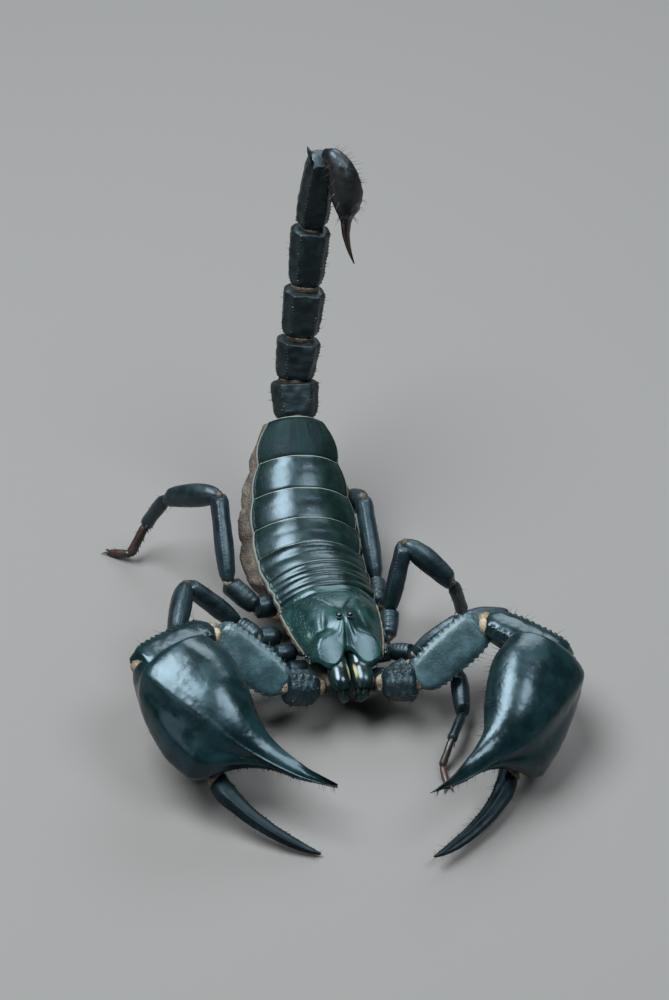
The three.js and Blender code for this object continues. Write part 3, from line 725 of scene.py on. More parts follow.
def bellyRing(position):
    top, axes, halfWidth, scale = trunkAt(position)
    fullness = rise(position, 0.8, 3)
    narrow = fade(position, 0.8, 3) * 4
    edge = -trunk["plateDepth"] - trunk["crownHeight"] * scale
    under = -trunk["plateDepth"] - 0.1
    ring = [within(axes, top, -across * halfWidth * 0.98, under - crownDrop(across) * scale)
            for across in [step / 4 - 1 for step in range(9)]]

    def flank(side, bulge):
        return [(side * (halfWidth + bulge * scale * fullness - narrow), edge - (0.7 + 0.9 * fullness) * scale),
                (side * (halfWidth + bulge * 0.6 * scale * fullness - narrow), edge - 3.4 * scale),
                (side * (halfWidth * 0.72 - narrow * 0.4), edge - (trunk["bellyDepth"] - 0.9) * scale),
                (side * halfWidth * 0.3, edge - (trunk["bellyDepth"] - 0.4) * scale)]

    spots = flank(-1, trunk["bulge"]["left"]) + flank(1, trunk["bulge"]["right"])[::-1]
    return ring + [within(axes, top, *spot) for spot in spots]


def makeBelly():
    mesh = newMesh()

    def flankShare(turn):
        place = (turn % 1) * 17
        return max(bell(place - 9.4, 1.5), bell(place - 16.2, 1.5), bell(place + 0.8, 1.2))

    def place(share, turn):
        position = between(belly["starts"], belly["ends"], share)
        ring = bellyRing(position)
        point = aroundRing(ring, turn)
        middle = sum(ring, Vector()) / len(ring)
        wave = math.sin(position * belly["foldsPerPlate"] * math.pi + 4 * rough(point, 3.5, 3))
        wave += 0.8 * math.sin((turn % 1) * 130 + 4 * rough(point, 2.5, 8))
        pad = abs(math.sin(math.pi * position)) ** 0.7
        lift = (belly["padHeight"] * (pad - 0.5) + belly["foldHeight"] * 0.2 * wave
                + 0.3 * rough(point, 1.8, 2) + 0.1 * rough(point, 0.5, 5))
        return point + (point - middle).normalized() * (lift * flankShare(turn))

    def paint(share, turn):
        return 0.4 + 0.6 * flankShare(turn), 0.3 * flankShare(turn)

    sweepTube(mesh, 300, 150, place, paint)
    finishPiece(mesh, "bellySkin", "flankSkin", "abdomen")

    mesh = newMesh()
    for starts, ends in belly["platePlaces"]:

        def surface(across, along):
            top, axes, halfWidth, scale = trunkAt(between(starts - 0.1, ends + 0.04, along))
            side = abs(across)
            height = -trunk["plateDepth"] - (trunk["crownHeight"] + trunk["bellyDepth"] - 0.45) * scale
            height += 1.6 * scale * side ** 3.2 - 0.22 * arch(along)
            height += 0.35 * fade(along, 0, 0.22) - 0.12 * bell(along - 0.96, 0.03)
            height += 0.22 * bell(side - 0.7, 0.1) * bell(along - 0.5 - 0.25 * (side - 0.7), 0.035)  # the slit
            return within(axes, top, -across * halfWidth * belly["plateHalfWidth"], height)

        def paint(across, along):
            return 0.15, 0.6 * bell(along - 0.98, 0.02) + 0.5 * rise(abs(across), 0.95, 1)

        curvedSheet(mesh, 44, 26, surface, -upwards, paint)
    finishPiece(mesh, "bellyPlates", "bellyShell", thickness=belly["plateThickness"], sharp=60)


# The pale skin that shows as a thin line below the carapace's edges.
sideFolds = {"inset": {"right": 0.56, "left": 0.15}, "drop": 0.55, "halfWidth": 0.42, "halfHeight": 0.34}


def makeSideFolds():
    mesh = newMesh()
    for name, side in sides.items():

        def place(share, turn):
            along = 0.97 * share
            across = side * (carapaceHalfWidth(along) - sideFolds["inset"][name])
            height = 0.1 * math.sin(share * 40) - carapace["crownRear"] - sideFolds["drop"]
            centre = onHead(across, height, along * (carapace["length"] - carapace["cornerCut"]))
            return ringPoint(headAxes, centre, turn, sideFolds["halfWidth"], sideFolds["halfHeight"])

        sweepTube(mesh, 60, 10, place, (0.6, 0.62))
    finishPiece(mesh, "sideFolds", "jointSkin")


# Under the head: the leg bases meet at a small breastplate.
underBody = {
    # (distance ahead, half width, top, bottom)
    "stations": [(0.1, 4.4, -6.6, -9.8), (2, 4.9, -6.3, -10), (5, 5, -6.2, -10.2), (9, 4.9, -6.2, -10.2),
        (12, 4.4, -6.3, -10.4), (14.4, 3.9, -6.7, -10.2), (16, 3.4, -7.2, -9.8)],
    # (distance ahead, lean forwards in degrees)
    "basePlates": [(13.6, 26), (10.2, 8), (6.6, -8), (2.6, -24)],
    "baseWidths": [(0, 0.5), (0.15, 1.25), (0.8, 1.6), (1, 1.2)],
    "baseHeight": 0.75,
    "baseLength": 5.6,
    "breastplate": (1.5, 1.7, 0.6),
}


def makeUnderBody():
    mesh = newMesh()
    station = reader(underBody["stations"])

    def place(share, turn):
        ahead, halfWidth, top, bottom = station(share)
        out, up = onRing(turn, 0.8)
        point = onHead(out * halfWidth, (top + bottom) / 2 + up * (top - bottom) / 2, ahead)
        return point + headAxes[2] * 0.12 * rough(point, 1.2)

    sweepTube(mesh, 60, 48, place, (0.5, 0.2))
    finishPiece(mesh, "underBody", "flankSkin", "prosoma")

    mesh = newMesh()
    for side in sides.values():
        for ahead, lean in underBody["basePlates"]:
            lean = math.radians(lean)
            axes = axesAlong(headAxes[0] * side * math.cos(lean) + headAxes[1] * math.sin(lean), headAxes[2])
            root = onHead(side * 0.9, -9.7, ahead)

            def place(share, turn):
                out, up = onRing(turn)
                width = readTable(underBody["baseWidths"], share)[0]
                height = underBody["baseHeight"] * up - 0.18 * bell(out - 0.55, 0.12) * (up < 0)
                return within(axes, root, width * out, height + 0.9 * share, underBody["baseLength"] * share)

            sweepTube(mesh, 26, 28, place, lambda share, turn: (0.35, 0.35 * rise(share, 0.93, 1)))
    addBall(mesh, onHead(0, -10.1, 3.2), 1, headAxes, underBody["breastplate"], grain=0.2, rings=16, around=24)
    finishPiece(mesh, "legBases", "bellyShell")


# The comb organs: a flat shaft each side with a row of blunt teeth.
combs = {"at": 0.9, "below": 11.3, "start": 0.9, "reach": 8.2, "sweep": 3.4, "halfWidth": 1, "halfHeight": 0.35,
         "teeth": 15, "toothLength": 1.35, "toothRadius": 0.2}


def makeComb(name, side):
    mesh = newMesh()
    top, axes = trunkAt(combs["at"])[:2]

    def centreAt(share):
        across = -side * between(combs["start"], combs["reach"], share)
        return within(axes, top, across, -combs["below"], combs["sweep"] * share ** 1.5)

    def place(share, turn):
        local = axesAlong(axes[0] * -side + axes[1] * 0.6 * share, axes[2])
        notch = 1 - 0.12 * bell(math.sin(share * 3 * math.pi), 0.15)
        halfWidth = combs["halfWidth"] * (1 - 0.45 * share ** 2) * notch
        return ringPoint(local, centreAt(share), turn, halfWidth, combs["halfHeight"])

    sweepTube(mesh, 60, 20, place, (0.4, 0.2))
    for tooth in range(combs["teeth"]):
        share = 0.08 + 0.9 * tooth / (combs["teeth"] - 1)
        root = centreAt(share) + axes[1] * 0.5
        length = combs["toothLength"] * (1 - 0.3 * share)

        def toothPoint(along, turn):
            radius = combs["toothRadius"] * (0.7 + 0.5 * arch(along))
            centre = within(axes, root, 0, -0.15 * along, length * along)
            return ringPoint(axes, centre, turn, radius, radius * 1.3)

        sweepTube(mesh, 6, 8, toothPoint, (0.2, 0.6))
    finishPiece(mesh, f"comb_{name}", "combSkin", "pectine_" + name)


# Jaws: a stout base, a fixed fang and a movable fang, with stiff hairs inside. Rows are (distance
# ahead, up, half width, half height, inwards).
jaws = {
    "across": {"right": 2, "left": 1.95},
    "stations": [(12, -4.6, 1.1, 1.2, 0.4), (13.6, -4.7, 1.5, 1.7, 0.35), (15, -5, 1.72, 1.6, 0.15),
        (16.2, -5.25, 1.86, 1.75, 0.05), (17.7, -5.7, 1.85, 1.75, 0.02), (18.9, -6.5, 1.45, 1.4, 0.15)],
    "fixedFang": [(18.2, -6.6, 0.95, 0.95, 0.5), (19, -7.5, 0.85, 0.8, 0.7), (19.3, -8.3, 0.55, 0.55, 0.95),
        (18.9, -9, 0.15, 0.15, 1.15)],
    "freeFang": [(18.4, -6.2, 0.85, 0.9, -0.25), (19.4, -7.1, 0.8, 0.8, 0), (19.7, -8.1, 0.5, 0.5, 0.45),
        (19.2, -8.9, 0.14, 0.14, 0.85)],
    "hairs": 34,
}


def makeJaw(name, side):
    mesh = newMesh()

    def tube(stations, rows, paint):
        station = reader(stations)
        step = 0.05 / (len(stations) - 1)

        def centreAt(share):
            ahead, up, _, _, inwards = station(share)
            return onHead(side * (jaws["across"][name] - inwards), up, ahead)

        def place(share, turn):
            axes = axesAlong(centreAt(share + step) - centreAt(share - step), headAxes[2])
            return ringPoint(axes, centreAt(share), turn, *station(share)[2:4])

        sweepTube(mesh, rows, 28, place, paint)

    def streak(share, turn):
        return 0.1, 0.8 * bell(turn - (0.25 + 0.13 * side), 0.035) * bell(share - 0.62, 0.3)

    tube(jaws["stations"], 36, streak)
    for fang in ("fixedFang", "freeFang"):
        tube(jaws[fang], 20, (0.1, 0))
    finishPiece(mesh, f"jaw_{name}", "jawShell", "chelicera_" + name)
    for _ in range(jaws["hairs"]):
        ahead = chance.uniform(16.5, 18.6)
        root = onHead(side * chance.uniform(0.35, 2.8), -6.6 - chance.uniform(0, 0.6), ahead)
        way = headAxes[1] + headAxes[2] * chance.uniform(-0.9, -0.2)
        bristleSpots.append((root, way, chance.uniform(0.9, 1.7)))


bristleSpots = []
makeCarapace()
makeEyes()
for plateIndex in range(lastPlate + 1):
    makeBackPlate(plateIndex)
makeBelly()
makeSideFolds()
makeUnderBody()
for sideName, sideSign in sides.items():
    makeComb(sideName, sideSign)
    makeJaw(sideName, sideSign)
print("trunk and head made")


# One limb segment. The profile gives (place, width, height) shares; a keel is (degrees round the
# limb, height, spread in degrees, teeth); the notch cuts the far end back on its upper side.
def sweepLimb(mesh, start, end, hint, halfWidth, halfHeight, profile, keels, boxiness, bow=0, notch=0,
              rows=44, columns=40, grain=0.2, paleEnds=0, lumps=0.06):
    way = end - start
    length = way.length
    axes = axesAlong(way, hint)

    def place(share, turn):
        out, up = onRing(turn)
        wide, high = readTable(profile, share)
        acrossBoxed, upBoxed = onRing(turn, boxiness)
        lift = 0
        for at, height, spread, teeth in keels:
            crest = bell(degreesFrom(turn, at), spread) * rise(share, 0.03, 0.12) * fade(share, 0.9, 0.98)
            lift += height * crest * (0.62 + 0.38 * math.cos(share * teeth * math.tau) if teeth else 1)
        cut = notch * rise(share, 0.8, 1) * max(up, 0) ** 0.7
        point = within(axes, start, acrossBoxed * halfWidth * wide,
                       upBoxed * halfHeight * high + bow * math.sin(math.pi * share), length * share - cut)
        lift += lumps * rough(point, 1.3)
        return point + (axes[0] * out + axes[2] * up) * lift

    def paint(share, turn):
        ridges = [bell(degreesFrom(turn, at), spread * 1.3) for at, height, spread, _ in keels if height > 0]
        return min(grain + 0.7 * max(ridges, default=0), 1), paleEnds * rise(share, 0.965, 0.995)

    sweepTube(mesh, rows, columns, place, paint)
    return place


def addBeadRow(mesh, place, degrees, count, radius, low, high):
    for bead in range(count):
        share = between(low, high, (bead + 0.5) / count)
        turn = degrees / 360 + chance.uniform(-0.012, 0.012)
        addBead(mesh, place(share, turn), radius * chance.uniform(0.5, 1.15), grain=0.6,
                pale=0.45 if chance.random() < 0.08 else 0)


# A tapering curved hook, for claws.
def addHook(mesh, root, way, bend, length, radius):
    axes = axesAlong(way, bend.cross(way).cross(way) * -1)

    def place(share, turn):
        size = radius * (1 - 0.9 * share ** 1.4)
        centre = within(axes, root, 0, 0.35 * length * share ** 2, length * share)
        return ringPoint(axes, centre, turn, size, size)

    sweepTube(mesh, 8, 8, place)


def addSkinBall(mesh, centre, radius, axes, stretch=(1, 1, 1), pale=0.5):
    for vert in addBall(mesh, centre, radius, axes, stretch, grain=0.6, pale=pale, rings=16, around=26):
        out = (vert.co - centre).normalized()
        vert.co += out * radius * (0.05 * math.sin(26 * out.dot(axes[1])) + 0.12 * rough(vert.co, 0.8))


def scatterBristles(place, count, lengths, shares=(0.1, 0.9), turns=(0, 1), lean=0.5):
    for _ in range(count):
        share, turn = chance.uniform(*shares), chance.uniform(*turns)
        root = place(share, turn)
        ahead = place(min(share + 0.02, 1), turn) - place(max(share - 0.02, 0), turn)
        around = place(share, turn + 0.01) - place(share, turn - 0.01)
        out = around.cross(ahead).normalized()
        if out.dot(root - (place(share, turn + 0.5) + root) / 2) < 0:
            out.negate()
        bristleSpots.append((root, out + ahead.normalized() * lean, chance.uniform(*lengths)))


# Legs, front pair first. Lengths run from trochanter to the last foot joint.
legs = {
    "lengths": [(4.2, 8.4, 7.8, 6.2, 4.6, 4.2), (4.6, 9.8, 9, 7, 5, 4.6), (5, 12, 10.8, 8.2, 5.6, 5),
        (6.4, 15.7, 12.8, 9.5, 6.2, 5)],
    "halfWidths": (1.7, 1.6, 1.55, 1.75, 1, 0.75, 0.65),
    "girths": (0.85, 0.95, 1.05, 1.1),
    "baseLength": 3.4,
    "soleHeight": 0.2,
    # for each leg its root, then the turn and climb of each length
    "right": [((-9.2, -11.2, 7.6), [(-170, 5), (-172, 5), (-138, -22), (-90, -23), (-18, -22), (12, -12)]),
        ((-10.8, -7.6, 8), [(172, 12), (-166, 9), (-135, -25), (-75, -35), (0, -16), (10, -12)]),
        ((-12.7, -2.7, 7.5), [(125, -2), (161, 42), (-107, -13), (-129, -56), (-131, -64), (-60, -12)]),
        ((-12.4, 2.7, 9.7), [(136, 25), (88, 33), (137, -27), (141, -60), (-153, -55), (143, -11)])],
    "left": [((7, -14.6, 6.9), [(20, 12), (-15, -8), (-96, -21), (-119, 0), (-126, -36), (-88, -12)]),
        ((8.5, -9.2, 7.2), [(-35, 15), (10, 32), (5, -10), (-45, -58), (-60, -68), (-80, -12)]),
        ((8.9, -5.6, 7.1), [(76, 20), (56, 58), (-30, -37), (30, -72), (-32, -43), (36, -11)]),
        ((8.8, 2.7, 6.4), [(83, 4), (89.5, 28), (104.5, -47), (104, -18), (96, -8), (95, -5)])],
    "profiles": [
        [(0, 0.6, 0.6), (0.1, 0.9, 0.9), (0.5, 1, 1), (0.9, 0.96, 0.96), (1, 0.7, 0.7)],
        [(0, 0.5, 0.5), (0.12, 0.84, 0.84), (0.5, 1, 1), (0.85, 1, 1), (0.95, 0.9, 0.9), (1, 0.62, 0.62)],
        [(0, 0.45, 0.42), (0.04, 0.62, 0.6), (0.14, 0.8, 0.86), (0.4, 0.94, 1.04), (0.75, 0.9, 1),
            (0.92, 0.92, 0.98), (0.975, 0.84, 0.88), (1, 0.6, 0.6)],
        [(0, 0.42, 0.4), (0.04, 0.6, 0.58), (0.16, 0.86, 0.86), (0.4, 1, 1.04), (0.75, 0.9, 0.92),
            (0.92, 0.78, 0.8), (0.97, 0.7, 0.72), (1, 0.5, 0.5)],
        [(0, 0.55, 0.5), (0.06, 0.8, 0.78), (0.25, 1, 1.05), (0.7, 0.95, 0.98), (0.93, 1.02, 1.02),
            (1, 0.7, 0.7)],
        [(0, 0.6, 0.6), (0.1, 0.9, 0.88), (0.5, 0.95, 1), (0.9, 1.02, 1.05), (1, 0.7, 0.7)],
        [(0, 0.6, 0.6), (0.12, 0.95, 0.92), (0.55, 1, 1.02), (0.85, 0.92, 0.9), (1, 0.6, 0.6)],
    ],
    "keels": [
        [], [(90, 0.16, 14, 7)],
        [(78, 0.24, 9, 24), (265, 0.2, 9, 18), (170, 0.12, 8, 0), (10, 0.12, 8, 0)],
        [(84, 0.16, 9, 0), (262, 0.14, 10, 0), (172, 0.14, 9, 0), (12, 0.1, 9, 0)],
        [(90, 0.1, 12, 0)], [], []],
    # parts and the steps that each takes, counted from the base
    "parts": [("upper", (0, 1, 2), "legShell"), ("lower", (3, 4), "legShell"), ("foot", (5, 6), "footShell")],
    "long": (2, 3),  # the steps with a bow and more rows
    "notches": (0.25, 0.5, 0.5, 0.5, 0.25, 0.25, 0.25),  # in half widths
    "bristles": {"leg": (12, (0.5, 1.3), 0.7), "foot": (16, (0.4, 0.9), 0.9)},  # count, lengths, lean
    # spines by step: (share along, across, in half widths)
    "spines": {4: [(0.97, -0.6), (0.97, 0), (0.97, 0.6)],
        5: [(0.25 + 0.17 * spine, 0.5 if spine % 2 else -0.5) for spine in range(5)]},
    "spineLength": 0.95,
    "clawLength": 1.35,
}


def makeLeg(name, side, index):
    root, turns = legs[name][index]
    joints = jointsOf(root, legs["lengths"][index], turns)
    joints.insert(0, joints[0] + Vector((-side, 0.1, -0.12)).normalized() * legs["baseLength"])
    joints[-1].z = legs["soleHeight"]
    halfWidths = [halfWidth * legs["girths"][index] for halfWidth in legs["halfWidths"]]
    ways = waysOf(joints)
    for part, steps, look in legs["parts"]:
        mesh = newMesh()
        for step in steps:
            halfWidth = halfWidths[step]
            long = step in legs["long"]
            start = joints[step] - ways[step] * halfWidth * 0.1
            end = joints[step + 1] + ways[step] * (halfWidth * 0.12 if step < 6 else 0)
            slim = step >= 4
            place = sweepLimb(
                mesh, start, end, upwards, halfWidth * 0.97, halfWidth * 1.06, legs["profiles"][step],
                legs["keels"][step], 0.9, bow=0.25 if long else 0.05, notch=halfWidth * legs["notches"][step],
                rows=58 if long else 34, columns=26 if slim else 40, grain=0.15 if slim else 0.25,
                paleEnds=0.12, lumps=0.05)
            if step > 1:
                count, lengths, lean = legs["bristles"]["foot" if part == "foot" else "leg"]
                scatterBristles(place, count, lengths, lean=lean)
            axes = axesAlong(ways[step], upwards)
            for share, across in legs["spines"].get(step, ()):
                spot = within(axes, start.lerp(end, share), across * halfWidth, -0.75 * halfWidth)
                way = ways[step] * 1.2 - axes[2] + axes[0] * across * 0.4
                addSpike(mesh, spot, way, legs["spineLength"], 0.14, 6)
        if part == "foot":
            for across in (-1, 1):
                spot = within(axes, joints[7], across * 0.22, 0.28, -0.35)
                way = ways[6] + axes[0] * across * 0.45 + upwards * 0.35
                addHook(mesh, spot, way, -upwards, legs["clawLength"], 0.2)
            keepAboveFloor(mesh)
        node = f"leg_{name}_{index + 1}_{part}"
        finishPiece(mesh, node + "_shell", look, node, sharp=60)
    skin = newMesh()
    for step in range(1, 7):
        bisector = axesAlong(ways[step - 1] + ways[step], upwards)
        radius = min(halfWidths[step - 1], halfWidths[step]) * 0.5
        addSkinBall(skin, joints[step], radius, bisector, pale=0.5 if step == 2 else 0.15)
    keepAboveFloor(skin)
    finishPiece(skin, f"leg_{name}_{index + 1}_skin", "jointSkin")


def keepAboveFloor(mesh):
    for vert in mesh.verts:
        vert.co.z = max(vert.co.z, 0)


# Arms: turns run trochanter, femur, patella; the hand has its own direction and back side.
arms = {
    "parts": ("trochanter", "femur", "patella"),
    "lengths": (5.6, 15.3, 15.4),
    "halfWidths": (2.9, 3.5, 3.3),
    "halfHeights": (2.7, 1.8, 2.55),
    "right": {"root": (-5.2, -16.8, 8.5), "turns": [(-176, 13), (140, 24), (-148, 6)],
        "plateNormal": (-0.2, -0.75, 0.63),
        "handForward": (0.65, -0.72, -0.24), "handBack": (-0.1, -0.36, 0.93)},
    "left": {"root": (5.6, -17.6, 8.3), "turns": [(-10, 3), (24, 26), (-36, -11)],
        "plateNormal": (-0.1, -0.75, 0.64),
        "handForward": (-0.66, -0.75, -0.06), "handBack": (0.5, -0.5, 0.71)},
    "profiles": [
        [(0, 0.5, 0.5), (0.1, 0.8, 0.8), (0.35, 1, 1), (0.75, 1.04, 1), (0.93, 0.92, 0.9), (1, 0.6, 0.6)],
        [(0, 0.42, 0.6), (0.04, 0.62, 0.8), (0.13, 0.86, 0.92), (0.35, 1, 1), (0.7, 1.02, 1),
            (0.88, 0.92, 0.95), (0.96, 0.74, 0.84), (1, 0.45, 0.6)],
        [(0, 0.4, 0.4), (0.04, 0.62, 0.62), (0.14, 0.88, 0.88), (0.4, 1.02, 1.02), (0.72, 1, 1),
            (0.9, 0.86, 0.86), (0.97, 0.7, 0.7), (1, 0.45, 0.45)],
    ],
    "keels": [
        [(50, 0.35, 11, 5), (130, 0.35, 11, 5), (90, 0.2, 10, 6), (10, 0.25, 10, 5), (170, 0.25, 10, 5),
            (270, 0.2, 12, 0)],
        [(15, 0.34, 9, 13), (165, 0.34, 9, 13), (90, -0.2, 34, 0), (336, 0.24, 9, 13), (204, 0.24, 9, 13)],
        [(40, 0.32, 8, 15), (140, 0.32, 8, 15), (180, 0.16, 10, 0), (0, 0.2, 10, 14), (90, -0.16, 26, 0),
            (320, 0.2, 9, 0), (220, 0.2, 9, 0)],
    ],
    "looks": ("legShell", "armShell", "handShell"),
    "overlaps": (0.3, -0.35, 0.3),
    "boxiness": (0.85, 0.72, 0.95),
    "notches": (0.4, 0.9, 0.9),
    "rows": (50, 150, 130),
    "grains": (0.5, 0.35, 0.35),
    "lumps": (0.1, 0.04, 0.06),
    "beadRadii": (0.2, 0.17, 0.17),
    "skinRadii": (1.5, 1.4, 1.4, 1.1),
    "elbowFold": (1.5, 1.2, 2),
}


def makeArm(name, side):
    arm = arms[name]
    joints = jointsOf(arm["root"], arms["lengths"], arm["turns"])
    normal = Vector(arm["plateNormal"])
    ways = waysOf(joints)
    for step, part in enumerate(arms["parts"]):
        mesh = newMesh()
        keels = arms["keels"][step]
        end = joints[step + 1] + ways[step] * arms["overlaps"][step]
        place = sweepLimb(
            mesh, joints[step] - ways[step] * 0.2, end, upwards if step == 2 else normal,
            arms["halfWidths"][step] * 0.98, arms["halfHeights"][step] * 0.98, arms["profiles"][step], keels,
            arms["boxiness"][step], notch=arms["notches"][step], rows=arms["rows"][step], columns=84,
            grain=arms["grains"][step], paleEnds=0.3, lumps=arms["lumps"][step])
        for at, height, _, teeth in keels:
            if height > 0 and teeth:
                addBeadRow(mesh, place, at, teeth, arms["beadRadii"][step], 0.08, 0.92)
                scatterBristles(place, 7, (0.7, 1.9), turns=(at / 360 - 0.02, at / 360 + 0.02), lean=0.3)
        node = f"arm_{name}_{part}"
        finishPiece(mesh, node + "_shell", arms["looks"][step], node, sharp=60)
    skin = newMesh()
    ways.append(Vector(arm["handForward"]).normalized())
    for step, radius in enumerate(arms["skinRadii"]):
        axes = axesAlong(ways[max(step - 1, 0)] + ways[step] * 0.6, upwards if step > 1 else normal)
        addSkinBall(skin, joints[step], radius, axes, (1.05, 0.9, 0.95))
        if step == 2:
            addSkinBall(skin, joints[2] + Vector((side * -0.2, -1.2, -0.7)), 1, axes, arms["elbowFold"], 0.75)
    finishPiece(skin, f"arm_{name}_skin", "jointSkin")
    return joints[3]


# Hand rows are (distance from the wrist, inner edge, outer edge, top, underside, ridge across,
# ridge up, lean towards the wrist).
hands = {
    "stations": [(0.1, -1.5, 1.3, 1, -1.3, 0.7, 0.7, 0), (1, -1.9, 2.2, 1.8, -2, 1, 1.4, 0),
        (2.2, -2.2, 3.1, 2.6, -2.6, 1.2, 2.2, 0.05), (4, -4.9, 4.5, 3.9, -3.6, 1.4, 3.6, 0.35),
        (5.2, -8.2, 5.4, 4.8, -4, 1.4, 4.4, 0.5), (6.9, -11, 6.3, 5.4, -4.5, 1.4, 5, 0.5),
        (9.8, -11, 7.4, 5.85, -5.2, 1.4, 5.35, 0.35), (14, -9.6, 8.4, 5.75, -5.3, 1.3, 5.1, 0.15),
        (17.8, -7.6, 8.5, 4.9, -5, 1.2, 4.35, 0.05), (20, -6.2, 7.4, 4, -4.2, 1, 3.5, 0),
        (22.2, -5.1, 4.4, 2.9, -2.4, 0.5, 2.5, 0), (24.4, -4.5, 1.8, 1.9, -2, -0.2, 1.5, 0),
        (27.6, -4.2, -0.5, 0.9, -2.2, -1.1, 0.6, 0), (32, -4.3, -2.2, -0.2, -2.3, -2.5, -0.4, 0),
        (34.6, -4.75, -3.55, -0.9, -2.1, -3.8, -1.1, 0), (36.4, -5.1, -4.5, -1.4, -2, -4.65, -1.5, 0),
        (37.5, -5.3, -5.15, -1.75, -1.9, -5.2, -1.78, 0)],
    "ridgeTurn": 4 / 12,
    "ridgeHeight": 0.2,
    "grooveDepth": 0.32,
    "outerRidgeHeight": 0.3,
    "teeth": 22,
    "toothRadii": (0.13, 0.22),
    # bristles: (count, lengths, shares along, turns)
    "bristles": [(46, (0.8, 2.2), (0.3, 0.7), (-0.07, 0.07)), (46, (0.6, 1.7), (0.62, 0.97), (0.3, 0.62)),
        (30, (0.5, 1.3), (0.15, 0.8), (0.5, 0.95))],
}
# Finger rows are (distance from the wrist, across, up, half width, half height).
fingers = {
    "stations": [(21, 5.2, -5, 1.5, 1.1), (21.4, 5.3, -5, 1.85, 1.45), (23.4, 5.9, -4.9, 1.75, 1.55),
        (26, 6.2, -4.9, 1.4, 1.4), (29, 6.3, -5.1, 1.2, 1.25), (32.6, 6, -5.4, 1, 1.05),
        (36.4, 5.3, -5.8, 0.8, 0.85), (40.1, 4.2, -6.2, 0.48, 0.48), (41.4, 3.6, -6.4, 0.2, 0.2)],
    # ridges: (height, turn, spread)
    "ridges": [(0.2, 0.2, 0.035), (-0.14, 0.11, 0.04), (0.16, 0.02, 0.035), (0.2, 0.5, 0.05),
        (0.16, 0.36, 0.04)],
    "teeth": 30,
    "toothRadii": (0.15, 0.26),
    "skinAt": (5.1, -4.3, 20.8),
    "skinStretch": (1.6, 0.8, 1.2),
}


# Round the hand from the inner edge over the back to the ridge, down the outer face and underneath.
def handSection(inner, outer, top, bottom, ridge, ridgeUp):
    back = [(between(inner, ridge, share), top * up) for share, up in (
        (0, 0.1), (0.1, 0.56), (0.36, 0.9), (0.7, 1))]
    face = [(ridge, ridgeUp), (between(ridge, outer, 0.62), between(ridgeUp, 0.3 * bottom, 0.42))]
    under = [(between(inner, outer, share), bottom * down) for share, down in (
        (1, 0.3), (0.94, 0.68), (0.76, 0.95), (0.5, 1), (0.26, 0.85), (0.07, 0.45))]
    return [Vector(spot) for spot in back + face + under]


